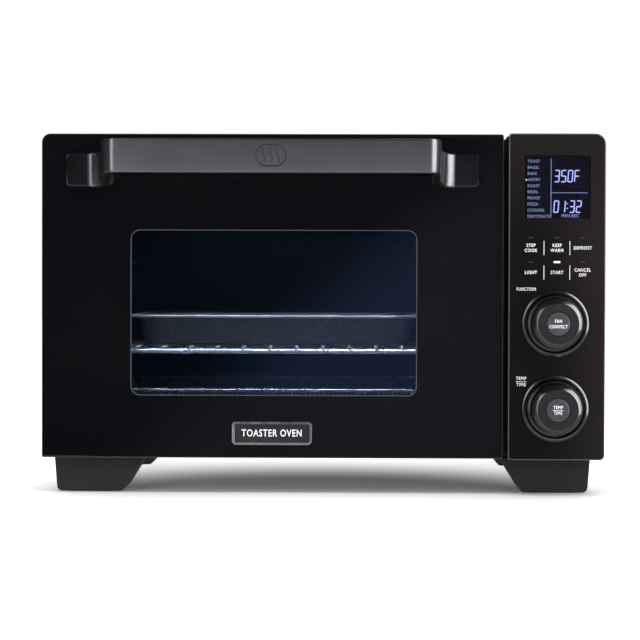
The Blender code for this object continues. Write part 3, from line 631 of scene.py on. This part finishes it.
def handle_mark(front, middle_z):
    """Three heat waves in a rounded border on the face of the bar."""
    line = 0.00045
    depth = front + line + 0.00005
    apart, swing, tall, steps = 0.0058, 0.0011, 0.0116, 24
    bm = bmesh.new()
    for k in (-1, 0, 1):
        path = []
        for i in range(steps + 1):
            step = i / steps
            x = DOOR_MID + k * apart + swing * math.sin(math.tau * step)
            path.append((x, middle_z - tall / 2 + tall * step))
        add_sweep(bm, ring_at(path, depth), line, 8)
    wide, high = 0.0125, 0.0088
    border = rounded_rect(DOOR_MID - wide, DOOR_MID + wide, middle_z - high, middle_z + high, 0.0086, 10)
    add_sweep(bm, ring_at(border, depth), line, 8, closed=True)
    made("handle_mark", bm, ("knob_face",), "door")


def badge():
    """A plate with a raised rim round its words."""
    low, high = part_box("badge")
    front = low.y
    floor = front + 0.0008
    rim = 0.0024

    def outline(inset):
        return inset_rect(low, high, inset, 0.0036 - inset, 8)

    levels = [(0.0, high.y), (0.0, front + 0.0005), (0.00015, front + 0.00015), (0.0005, front)]
    levels += [(rim - 0.0005, front), (rim - 0.0002, front + 0.0002), (rim, floor)]
    bm = bmesh.new()
    add_wall(bm, rings_over(outline, levels))
    add_cap(bm, [outline(rim)], floor, index=1)
    add_cap(bm, [outline(0.0)], high.y)
    made("badge_plate", bm, ("badge_metal_look", "badge_recess"), "door", ("badge",))
    words = bmesh.new()
    middle = (low + high) / 2
    add_text(words, "TOASTER OVEN", middle.x, floor, middle.z, 0.0062, 0.76, 0.0004, 0.0001)
    made("badge_words", words, ("white_print",), "door")


# ---------------- controls

PANEL_LOW, PANEL_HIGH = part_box("control_panel")
LCD_LOW, LCD_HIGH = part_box("lcd_lens")
FACE = PANEL_LOW.y
KNOB_NAMES = ("function", "temp")


def middle_of(node):
    """The middle of a node as seen from the front."""
    low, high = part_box(node)
    return (low.x + high.x) / 2, (low.z + high.z) / 2


def knob_middle(name):
    return middle_of("knob_bezel_" + name)


def panel():
    """A shell with an opening for the display and a bore for each knob."""

    def outline(inset):
        return inset_rect(PANEL_LOW, PANEL_HIGH, inset, (0.0024, 0.004, 0.009 - inset, 0.0024), 10)

    wall = 0.0022
    soft = 0.0009
    holes = [inset_rect(LCD_LOW, LCD_HIGH, -0.0002, 0.0013, 5)]
    holes += [circle(*knob_middle(name), 0.007, 32) for name in KNOB_NAMES]
    edge = [(inset, FACE + depth) for inset, depth in rounding(soft, FINE)]
    inside = [edge[0], (0.0, PANEL_HIGH.y), (wall, PANEL_HIGH.y), (wall, FACE + wall)]
    bm = bmesh.new()
    # the rounded front edge takes the painted highlight colour
    add_wall(bm, rings_over(outline, edge), 1)
    add_wall(bm, rings_over(outline, inside))
    add_cap(bm, [outline(soft)] + holes, FACE)
    add_cap(bm, [outline(wall)] + holes, FACE + wall)
    for hole in holes:
        add_wall(bm, [ring_at(hole, FACE), ring_at(hole, FACE + wall)])
    materials = ("panel_gloss", "panel_edge_highlight")
    made("panel_shell", bm, materials, "root", ("control_panel",), FLAT)


def display_cover():
    def outline(inset):
        return inset_rect(LCD_LOW, LCD_HIGH, inset, 0.0012 - inset, 5)

    bm = bmesh.new()
    add_slab(bm, outline, LCD_LOW.y, LCD_HIGH.y, 0.0001)
    made("display_cover", bm, ("display_clear",), "root", ("lcd_lens",), FLAT)


DIGIT_WIDE = 0.0036
DIGIT_TALL = 0.0096
DIGIT_PITCH = 0.0056
DIGIT_LEAN = 0.08
STROKE = 0.00095
SEGMENTS = {
    "0": "abcdef",
    "1": "bc",
    "2": "abged",
    "3": "abgcd",
    "5": "afgcd",
    "F": "aefg",
}


def add_digit(bm, sign, x, z, y):
    """A seven-segment figure that leans a little to the right; x and z are its lower left corner."""
    wide, tall = DIGIT_WIDE, DIGIT_TALL
    half = tall / 2
    side = STROKE / 2
    trim = STROKE * 0.28
    bars = {
        "a": (0, tall, wide, tall),
        "d": (0, 0, wide, 0),
        "g": (0, half, wide, half),
        "f": (0, half, 0, tall),
        "b": (wide, half, wide, tall),
        "e": (0, 0, 0, half),
        "c": (wide, 0, wide, half),
    }
    for name in SEGMENTS[sign]:
        u0, v0, u1, v1 = bars[name]
        if u0 == u1:
            shape = [(u0 - side, v0 + trim), (u0, v0), (u0 + side, v0 + trim)]
            shape += [(u0 + side, v1 - trim), (u0, v1), (u0 - side, v1 - trim)]
        else:
            shape = [(u0 + trim, v0 - side), (u1 - trim, v0 - side), (u1, v0)]
            shape += [(u1 - trim, v0 + side), (u0 + trim, v0 + side), (u0, v0)]
        add_prism(bm, [(x + u + DIGIT_LEAN * v, z + v) for u, v in shape], y, 0.00004)


MODES = ("TOAST", "BAGEL", "BAKE", "AIRFRY", "ROAST", "BROIL", "PROOF", "PIZZA", "COOKIES", "DEHYDRATE")
MODE_PITCH = 0.00518


def display():
    """The lit figures, mode list and lines on the face of the display module."""
    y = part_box("lcd_module")[0].y
    left, right = LCD_LOW.x, LCD_HIGH.x
    bottom, top = LCD_LOW.z, LCD_HIGH.z
    divide = left + 0.0219
    level = bottom + 0.0217
    figures = bmesh.new()
    for i, sign in enumerate("350F"):
        add_digit(figures, sign, left + 0.025 + i * DIGIT_PITCH, level + 0.0095, y)
    start, lower = left + 0.0244, level - 0.0163
    colon = 0.0022
    for i, sign in enumerate("0132"):
        shift = colon if i > 1 else 0.0
        add_digit(figures, sign, start + i * DIGIT_PITCH + shift, lower, y)
    x = start + 2 * DIGIT_PITCH - 0.0002
    for dot in (0.0028, 0.0068):
        add_block(figures, x, x + 0.001, lower + dot, lower + dot + 0.001, y)
    made("display_figures", figures, ("lcd_glow",), "root")
    lines = bmesh.new()
    add_block(lines, divide, divide + 0.0004, bottom + 0.001, top - 0.0025, y)
    add_block(lines, divide, right - 0.002, level, level + 0.0004, y)
    add_text(lines, "MIN:SEC", left + 0.0385, y, bottom + 0.0023, 0.0029, 0.92)
    made("display_lines", lines, ("lcd_line",), "root")
    modes = bmesh.new()
    first = top - 0.0049
    for i, word in enumerate(MODES):
        add_text(modes, word, left + 0.0021, y, first - i * MODE_PITCH, 0.0026, 0.86, align="LEFT")
    made("display_modes", modes, ("lcd_dim",), "root")
    pointer = bmesh.new()
    z = first - MODES.index("AIRFRY") * MODE_PITCH
    add_block(pointer, left + 0.0004, left + 0.0017, z - 0.0005, z + 0.0005, y, radius=0.00045)
    made("display_pointer", pointer, ("lcd_white",), "root")


def panel_print():
    """Key names, rules and lamps printed on the panel."""
    knob_x, knob_z = knob_middle("function")
    columns = (knob_x - 0.021, knob_x + 0.0011, knob_x + 0.0228)
    rows = (knob_z + 0.064, knob_z + 0.0432)
    small = 0.0029
    line_pitch = 0.0043
    white = bmesh.new()
    keys = (
        (0, 0, ("STEP", "COOK")),
        (1, 0, ("KEEP", "WARM")),
        (2, 0, ("DEFROST",)),
        (0, 1, ("LIGHT",)),
        (1, 1, ("START",)),
        (2, 1, ("CANCEL", "OFF")),
    )
    for column, row, words in keys:
        for i, word in enumerate(words):
            z = rows[row] + ((len(words) - 1) / 2 - i) * line_pitch
            add_text(white, word, columns[column], FACE, z, small, 0.84, bold=0.00002)
    add_text(white, "FUNCTION", knob_x - 0.0248, FACE, knob_z + 0.029, small, 0.74, bold=0.00001)
    temp_x, temp_z = knob_middle("temp")
    for words, up in (("TEMP", 0.0255), ("TIME", 0.0203)):
        add_text(white, words, temp_x - 0.0288, FACE, temp_z + up, small, 0.86, bold=0.00002)
    rule = temp_z + 0.0229
    add_block(white, temp_x - 0.0332, temp_x - 0.0244, rule - 0.00015, rule + 0.00015, FACE)
    made("panel_words", white, ("white_print",), "root")
    rules = bmesh.new()
    for z in rows:
        for x in ((columns[0] + columns[1]) / 2, (columns[1] + columns[2]) / 2):
            add_block(rules, x - 0.0002, x + 0.0002, z - 0.006, z + 0.006, FACE)
    made("panel_rules", rules, ("white_print",), "root")
    unlit = bmesh.new()
    lit = bmesh.new()
    above = 0.0089
    for column, row, words in keys:
        x, z = columns[column], rows[row] + above
        if words == ("START",):
            add_block(lit, x - 0.0028, x + 0.0028, z - 0.0008, z + 0.0008, FACE, 0.0001)
        else:
            add_block(unlit, x - 0.0021, x + 0.0021, z - 0.0004, z + 0.0004, FACE)
    made("panel_lamps_off", unlit, ("unlit_lamp",), "root")
    made("panel_lamp", lit, ("led_white",), "root")


def bezel_ring(name, centre):
    low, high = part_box("knob_bezel_" + name)
    seat, crest = high.y, low.y
    inner, outer = 0.0214, (high.x - low.x) / 2
    profile = [(inner, seat), (outer, seat), (outer, seat - 0.0012), (outer - 0.0003, seat - 0.0018)]
    profile += [(outer - 0.0011, seat - 0.0022), (0.0268, seat - 0.0024), (0.0266, crest + 0.0004)]
    profile += [(0.0262, crest + 0.00005), (0.0257, crest), (0.0252, crest + 0.0003)]
    profile += [(0.0243, crest + 0.0018), (0.0236, seat - 0.0014), (inner, seat - 0.0012), (inner, seat)]
    bm = bmesh.new()
    add_turned(bm, profile, centre)
    made("bezel_ring_" + name, bm, ("turned_black",), "root", ("knob_bezel_" + name,))


def grip(name, centre):
    """The turned grip: a chamfered flank round a flat face with a well for the cap."""
    low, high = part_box("knob_" + name)
    front, rear = low.y, high.y
    shaft, face, well = 0.0034, 0.0172, 0.0103
    flank = [(shaft, rear - 0.001), (shaft, rear), (0.0206, rear), (0.0208, rear - 0.0004)]
    flank += [(0.0207, front + 0.0032), (0.0206, front + 0.0023)]
    for i in range(9):
        step = i / 8
        flank.append((0.0205 - 0.0032 * step, front + 0.0019 * (1 - step) * (1 - 0.25 * step)))
    inside = [(face, front), (face - 0.0003, front + 0.0002), (well + 0.0004, front + 0.0002)]
    inside += [(well, front + 0.0005), (well, front + 0.008), (shaft, front + 0.008), (shaft, rear - 0.001)]
    bm = bmesh.new()
    add_turned(bm, flank + [(face, front)], centre)
    add_turned(bm, inside, centre, index=1)
    materials = ("turned_black", "knob_face")
    made("grip_" + name, bm, materials, name + "_knob", ("knob_" + name,))


def push_cap(name, centre, words):
    low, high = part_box("knob_button_" + name)
    front = low.y
    face = front + 0.00012
    radius, stem = 0.0099, 0.0029
    profile = [(0.0, face), (0.008, face), (0.0091, front + 0.00018), (0.0096, front + 0.0004)]
    profile += [(radius, front + 0.0008), (radius, front + 0.005), (stem, front + 0.0055)]
    profile += [(stem, high.y), (0.0, high.y)]
    bm = bmesh.new()
    add_turned(bm, profile, centre, sides=64)
    body = name + "_button"
    made("cap_" + name, bm, ("cap_grey",), body, ("knob_button_" + name,))
    ink = bmesh.new()
    x, z = centre
    for i, word in enumerate(words):
        add_text(ink, word, x, face, z + (0.5 - i) * 0.0046, 0.0029, 0.76, bold=0.00004)
    if name == "temp":
        add_block(ink, x - 0.0044, x + 0.0044, z - 0.0001, z + 0.0002, face)
    made("cap_words_" + name, ink, ("white_print",), body)


def knob(name, words):
    centre = knob_middle(name)
    bezel_ring(name, centre)
    grip(name, centre)
    push_cap(name, centre, words)


# ---------------- housing and cavity


def foot_outline(low, high, sign, inset):
    """Wide at the top, with two rounded toes; its inner side leans more than its outer side."""
    wide = high.x - low.x
    middle = wide * 0.45
    pull = 16  # share by which a metre of inset would draw the sides to the middle
    toe = 0.004
    top, bottom = high.z - inset * 0.1, low.z + inset
    across = [(0.0, top), (0.002, bottom + 0.0045)]
    across += [(0.0062 - u, v) for u, v in arc(0, bottom + toe, toe, 0, -90, 8)]
    across += [(0.0569 - u, v) for u, v in arc(0, bottom + toe, toe, -90, -150, 8)]
    across.append((wide, top))
    outer = low.x if sign < 0 else high.x
    return [(outer - sign * (u + (middle - u) * inset * pull), v) for u, v in across]


def feet():
    for end in ("front", "rear"):
        for side, sign in (("left", -1), ("right", 1)):
            corner = f"{end}_{side}"
            node = "foot_" + corner
            low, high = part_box(node)
            bm = bmesh.new()
            add_slab(bm, partial(foot_outline, low, high, sign), low.y, high.y, 0.0006)
            made("foot_body_" + corner, bm, ("foot_plastic",), "root", (node,), 12.0)
            finish_node("foot_pad_" + corner, "rubber_look")


def cover():
    """The painted wrap-round cover with rounded top corners and a row of vents in each side."""
    low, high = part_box("outer_cover")
    sheet, radius = 0.0012, 0.01
    inside = high.x - sheet
    shoulder = high.z - radius
    vents = []
    for i in range(9):
        y = 0.03 + 0.015 * i
        vents.append(rounded_rect(y - 0.0022, y + 0.0022, 0.23, 0.275, 0.0021, 6))
    side = [(low.y, low.z), (high.y, low.z), (high.y, shoulder), (low.y, shoulder)]
    bm = bmesh.new()
    for sign in (-1, 1):
        for x in (sign * high.x, sign * inside):
            add_cap(bm, [side] + vents, x, "X")
        for vent in vents:
            add_wall(bm, [ring_at(vent, sign * high.x, "X"), ring_at(vent, sign * inside, "X")])
        near, far = sign * inside, sign * high.x
        add_cap(bm, [[(near, low.y), (far, low.y), (far, high.y), (near, high.y)]], low.z, "Z")
    lines = []
    for r in (radius, radius - sheet):
        line = arc(high.x - radius, shoulder, r, 0, 90, 14) + arc(radius - high.x, shoulder, r, 90, 180, 14)
        lines.append(line)
        rows = [[bm.verts.new(point) for point in ring_at(line, y)] for y in (low.y, high.y)]
        for i in range(len(line) - 1):
            bm.faces.new((rows[0][i], rows[0][i + 1], rows[1][i + 1], rows[1][i]))
    loop = [(high.x, low.z)] + lines[0] + [(-high.x, low.z), (-inside, low.z)]
    loop += lines[1][::-1] + [(inside, low.z)]
    for y in (low.y, high.y):
        add_cap(bm, [loop], y)
    made("cover_shell", bm, ("cover_paint",), "root", ("outer_cover",))


def add_screw(bm, centre, seat, out, axis):
    """A pan-head screw with a cross recess; out is the way its head points, 1 or -1."""
    steps = ((0.0036, -0.0002), (0.0036, 0.0006), (0.0031, 0.0012), (0.0023, 0.0015))
    add_turned(bm, [(r, seat + out * w) for r, w in steps], centre, axis, 24)
    arm, reach = 0.0004, 0.0016
    corner = ((-arm, -reach), (arm, -reach), (arm, -arm))
    cross = []
    for turn in range(4):
        a = math.pi / 2 * turn
        across, up = math.cos(a), math.sin(a)
        cross += [(centre[0] + u * across - v * up, centre[1] + u * up + v * across) for u, v in corner]
    crest, floor = seat + out * 0.0015, seat + out * 0.0006
    add_cap(bm, [circle(*centre, 0.0023, 24), cross], crest, axis)
    add_wall(bm, [ring_at(cross, crest, axis), ring_at(cross, floor, axis)])
    add_cap(bm, [cross], floor, axis)
    add_cap(bm, [circle(*centre, 0.0036, 24)], seat - out * 0.0002, axis)


def screws():
    """The screws that hold the cover and the rear cover."""
    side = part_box("outer_cover")[1].x
    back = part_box("rear_cover")[1].y
    bm = bmesh.new()
    for x in (-0.228, -0.08, 0.08, 0.228):
        for z in (0.042, 0.296):
            add_screw(bm, (x, z), back, 1, "Y")
    for sign in (-1, 1):
        for y, z in ((-0.12, 0.043), (0.03, 0.043), (0.18, 0.043), (0.18, 0.17), (0.18, 0.285)):
            add_screw(bm, (y, z), sign * side, sign, "X")
    made("cover_screws", bm, ("screw_black",), "root")


def bumpers():
    """The two rounded feet on the back that keep the oven off the wall."""
    drawn_in = 0.0038
    for side in ("left", "right"):
        node = "rear_bumper_" + side
        low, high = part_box(node)

        def outline(inset, low=low, high=high):
            return inset_rect(low, high, inset, 0.005 - inset * 0.6, 8)

        levels = [(0.0, low.y), (0.0, high.y - 0.0042), (0.0003, high.y - 0.0036)]
        levels += [(0.0026, high.y - 0.0007), (0.0031, high.y - 0.0002), (drawn_in, high.y)]
        bm = bmesh.new()
        add_wall(bm, rings_over(outline, levels))
        add_cap(bm, [outline(0.0)], low.y)
        add_cap(bm, [outline(drawn_in)], high.y)
        made("bumper_" + side, bm, ("black_plastic_look",), "root", (node,), 40.0)


def gland():
    """The cord gland: a flange on the back and a stepped sleeve with an open bore."""
    low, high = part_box("cord_gland")
    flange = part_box("rear_cover")[1].y + 0.0003
    bore, neck = 0.004, 0.0079
    profile = [(bore, low.y), (neck, low.y), (neck, flange), (0.0112, flange), (0.0115, flange + 0.0004)]
    profile += [(0.0114, flange + 0.0022), (0.0108, flange + 0.003), (0.0092, flange + 0.0034)]
    profile += [(0.0086, flange + 0.0052), (0.009, flange + 0.0056), (0.009, flange + 0.0066)]
    profile += [(0.0084, flange + 0.007), (0.008, high.y - 0.0008), (0.0072, high.y), (0.0046, high.y)]
    profile += [(bore, high.y - 0.0006), (bore, low.y)]
    bm = bmesh.new()
    add_turned(bm, profile, middle_of("cord_gland"), sides=64)
    made("gland_body", bm, ("black_plastic_look",), "root", ("cord_gland",))


def rack():
    """A round frame bar with wires along it on top and two cross wires."""
    low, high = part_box("wire_rack")
    bar, wire, cross = 0.002, 0.0013, 0.0018
    z = low.z + bar
    top = z + bar + wire - 0.0006
    half = (high.x - low.x) / 2 - bar
    middle = (low.x + high.x) / 2
    pitch, short = 0.0234, 0.0003
    bm = bmesh.new()
    outline = rounded_rect(middle - half, middle + half, low.y + bar, high.y - bar, 0.012, 8)
    add_sweep(bm, ring_at(outline, z, "Z"), bar, 14, closed=True)
    for i in range(-6, 7):
        x = middle + i * pitch - pitch / 6
        path = [(x, low.y + short), (x, 0.0), (x, high.y - short)]
        add_sweep(bm, ring_at(path, top, "Z"), wire, 12)
    for y in (-0.045, 0.05):
        path = [(middle - half, y), (middle, y), (middle + half, y)]
        add_sweep(bm, ring_at(path, z, "Z"), cross, 10)
    made("rack_wires", bm, ("rack_wire",), "rack", ("wire_rack",), 60.0)


def pan():
    """A drawn tray with sloping walls and a flat rim turned down at its edge."""
    low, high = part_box("baking_pan")
    middle = (low.x + high.x) / 2
    rim, draft, wall = 0.012, 0.007, 0.001
    half = (high.x - low.x) / 2 - rim - draft
    front, back = low.y + rim + draft, high.y - rim - draft
    bottom, top = low.z, high.z
    levels = [(0.0, bottom), (0.0012, bottom + 0.0004), (0.0024, bottom + 0.0016)]
    levels += [(draft - 0.0008, top - 0.003), (draft, top - wall), (draft + rim - 0.0016, top - wall)]
    levels += [(draft + rim - 0.0016, top - 0.0024), (draft + rim - 0.0006, top - 0.0024)]
    levels += [(draft + rim, top - 0.0016), (draft + rim, top - 0.0006), (draft + rim - 0.0006, top)]
    levels += [(draft, top), (draft - wall, top - 0.0008), (0.0014, bottom + 0.0024), (-wall, bottom + wall)]
    rings = []
    for out, z in levels:
        edges = (middle - half - out, middle + half + out, front - out, back + out)
        rings.append(ring_at(rounded_rect(*edges, 0.014 + out, 8), z, "Z"))
    bm = bmesh.new()
    add_wall(bm, rings[:6])
    # the rim takes the lighter painted-highlight colour
    add_wall(bm, rings[5:12], 1)
    add_wall(bm, rings[11:])
    add_ends(bm, rings)
    made("pan_shell", bm, ("pan_enamel_look", "pan_lip_highlight"), "rack", ("baking_pan",), 40.0)


def basket():
    """A woven mesh floor that turns up at its sides into a rolled rim wire."""
    low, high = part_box("air_fry_basket")
    middle = (low.x + high.x) / 2
    pitch, wire = 0.004, 0.0006
    edge = 0.0012
    half = (high.x - low.x) / 2 - edge
    front, back = low.y + edge, high.y - edge
    floor, top = low.z + 2 * wire, high.z - edge
    bm = bmesh.new()
    for z, inset, size in ((top, 0.0, edge), (floor + 0.0045, 0.0028, 0.0005)):
        edges = (middle - half + inset, middle + half - inset, front + inset, back - inset)
        add_sweep(bm, ring_at(rounded_rect(*edges, 0.01, 6), z, "Z"), size, 8, closed=True)
    rise = ((0.0, top - 0.0004), (0.0026, floor + 0.005), (0.0046, floor + 0.0012), (0.008, floor))
    across = int((2 * half - 0.016) / pitch)
    for i in range(across + 1):
        x = middle + (i - across / 2) * pitch
        path = [(front + u, v) for u, v in rise] + [(back - u, v) for u, v in reversed(rise)]
        add_sweep(bm, ring_at(path, x, "X"), wire, 5)
    along = int((back - front - 0.016) / pitch)
    for i in range(along + 1):
        y = (front + back) / 2 + (i - along / 2) * pitch
        path = [(middle - half + u, v - wire) for u, v in rise]
        path += [(middle + half - u, v - wire) for u, v in reversed(rise)]
        add_sweep(bm, ring_at(path, y), wire, 5)
    made("basket_mesh", bm, ("basket_wire",), "root", ("air_fry_basket",), 70.0)


def heaters():
    """Two rods, each bent to a long U that starts and ends at the right wall."""
    for level in ("upper", "lower"):
        low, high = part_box("heater_" + level)
        radius = (high.z - low.z) / 2
        z = (low.z + high.z) / 2
        bend = 0.02
        between = (0.05, -0.08)
        front, back, far = low.y + radius, high.y - radius, low.x + radius
        path = [(high.x, front)] + [(x, front) for x in between]
        path += arc(far + bend, front + bend, bend, 270, 180, 14)
        path += arc(far + bend, back - bend, bend, 180, 90, 14)
        path += [(x, back) for x in reversed(between)] + [(high.x, back)]
        bm = bmesh.new()
        add_sweep(bm, ring_at(path, z, "Z"), radius, 18)
        node = "heater_" + level
        made("element_" + level, bm, ("heater_sheath_look",), "root", (node,), 60.0)


CAD_LOOKS = {
    "cover_paint": ("rear_cover", "front_frame"),
    "zinc_sheet": (
        "base_plate", "fan_housing", "fan_blade", "heat_shield", "hinge_pin_left", "hinge_pin_right",
        "hinge_spring_left", "hinge_spring_right", "encoder_function", "encoder_temp",
    ),
    "rubber_look": ("door_seal",),
    "cavity_enamel_painted_shade": ("cavity_liner",),
    "dark_steel_look": (
        "rack_guide_left", "rack_guide_right", "crumb_tray", "fan_motor", "door_inner_panel",
        "hinge_bracket_left", "hinge_bracket_right",
    ),
    "ceramic_look": ("heater_terminal_upper", "heater_terminal_lower", "lamp_holder"),
    "lamp_glass_look": ("lamp_lens",),
    "rack_wire": ("temperature_probe",),
    "inner_clear": ("door_inner_glass",),
    "black_plastic_look": ("door_frame",),
    "lcd_back": ("lcd_module",),
    "board_look": ("control_board", "power_board"),
}


# ---------------- studio


SKY = (0.78, 0.79, 0.82)
WALL_DARK = (0.022, 0.022, 0.024)
WALL_PALE = (0.14, 0.142, 0.165)
GROUND_AHEAD = (0.8, 0.8, 0.83)
GROUND_ASIDE = (0.2, 0.2, 0.21)
WHITE = (1.0, 1.0, 1.0)
WALL_SLOPE = 0.8757


def world():
    """White behind the oven; mirrors see a wall with a slanting edge, and a ground lighter ahead."""
    studio = bpy.data.worlds.new("studio")
    scene.world = studio
    studio.use_nodes = True
    sky = Tree(studio.node_tree)
    rays = sky.node("ShaderNodeLightPath")
    towards = sky.node("ShaderNodeTexCoord").outputs["Generated"]
    down = sky.node("ShaderNodeMath", "MULTIPLY")
    down.inputs[1].default_value = -1.0
    sky.link(sky.part(towards, "Z"), down.inputs[0])
    slope = sky.node("ShaderNodeMath", "MULTIPLY_ADD")
    slope.inputs[1].default_value = WALL_SLOPE
    sky.link(sky.part(towards, "X"), slope.inputs[0])
    sky.link(down.outputs["Value"], slope.inputs[2])
    wall = sky.blend(WALL_DARK, WALL_PALE, sky.ramp(slope.outputs["Value"], -0.03, 0.03))
    aside = sky.ramp(sky.part(towards, "Y"), -0.92, -0.72, kind="LINEAR")
    ground = sky.blend(GROUND_AHEAD, GROUND_ASIDE, aside)
    mirrored = sky.blend(wall, ground, sky.ramp(down.outputs["Value"], 0.11, 0.34))
    lit = sky.blend(SKY, mirrored, rays.outputs["Is Glossy Ray"])
    seen = sky.blend(lit, WHITE, rays.outputs["Is Camera Ray"])
    sky.link(seen, sky.tree.nodes["Background"].inputs["Color"])


def paper():
    """White paper whose glow fades in round the oven, so that only the contact shadow stays dark."""
    half = 9
    corners = [(-half, -half, 0), (half, -half, 0), (half, half, 0), (-half, half, 0)]
    mesh = bpy.data.meshes.new("floor")
    mesh.from_pydata(corners, [], [(0, 1, 2, 3)])
    look = Look("floor_paper", (0.72, 0.72, 0.722), 0.9, specular=0.0).vary(3.0, (0.715, 0.715, 0.717))
    reach = look.node("ShaderNodeVectorMath", "DISTANCE")
    look.link(look.where, reach.inputs[0])
    reach.inputs[1].default_value = (0.0, -0.22, 0.0)
    glow = look.ramp(reach.outputs["Value"], 0.19, 0.43, 0.06, 0.9)
    look.set("Emission Color", (*WHITE, 1.0))
    look.link(glow, look.shader.inputs["Emission Strength"])
    mesh.materials.append(look.material)
    obj = add_object("floor", mesh)
    obj.visible_glossy = False


def area(name, at, aim, size, power, colour=WHITE):
    """A rectangular light at one point, turned towards another."""
    light = bpy.data.lights.new(name, "AREA")
    light.shape = "RECTANGLE"
    light.size, light.size_y = size
    light.energy = power
    light.color = colour
    lamp = add_object(name, light)
    lamp.location = at
    lamp.rotation_euler = (Vector(aim) - Vector(at)).to_track_quat("-Z", "Y").to_euler()
    return lamp


def lamps():
    top = area("top_front", (0.0, -0.95, 1.65), (0.0, -0.1, 0.12), (1.6, 0.5), 17.0)
    top.visible_glossy = False
    area("front_right", (1.25, -1.00, 0.55), (0.1, -0.18, 0.2), (1.0, 1.6), 13.0, (1.0, 0.99, 0.97))
    area("front_left", (-0.85, -1.55, 0.5), (-0.1, -0.18, 0.2), (0.6, 1.4), 4.0, (0.95, 0.97, 1.0))
    over = area("ceiling", (0.0, 0.3, 2.2), (0.0, 0.0, 0.0), (2.6, 2.0), 26.0)
    over.visible_glossy = False
    inner = area("door_lamp", (DOOR_MID, -0.12, 0.245), (DOOR_MID, -0.118, 0.0), (0.26, 0.01), 0.8)
    inner.visible_camera = False


CAMERA_AT = (0.018, -1.91, 0.178)
# Turned first by its roll about the view line, then up from straight down, then about Z, in degrees.
ROLL, TILT, TURN = 0.162, 89.055, 0.653


def camera():
    """A long lens a little above the middle of the front."""
    data = bpy.data.cameras.new("camera")
    data.lens = 114.7
    data.sensor_width = 36.0
    data.clip_end = 60.0
    obj = add_object("camera", data)
    steps = ((TURN, "Z"), (TILT, "X"), (ROLL, "Z"))
    obj.matrix_world = Matrix.Translation(CAMERA_AT)
    for degrees, axis in steps:
        obj.matrix_world = obj.matrix_world @ Matrix.Rotation(math.radians(degrees), 4, axis)
    scene.camera = obj
    scene.view_settings.view_transform = "Standard"


def build():
    door_looks()
    panel_looks()
    display_looks()
    housing_looks()
    cavity_looks()
    inner_looks()
    glass_looks()
    door_glass()
    handle()
    badge()
    panel()
    display_cover()
    display()
    panel_print()
    knob("function", ("FAN", "CONVECT"))
    knob("temp", ("TEMP", "TIME"))
    feet()
    cover()
    screws()
    bumpers()
    gland()
    rack()
    pan()
    basket()
    heaters()
    for look, names in CAD_LOOKS.items():
        for name in names:
            finish_node(name, look)
    world()
    paper()
    lamps()
    camera()


build()
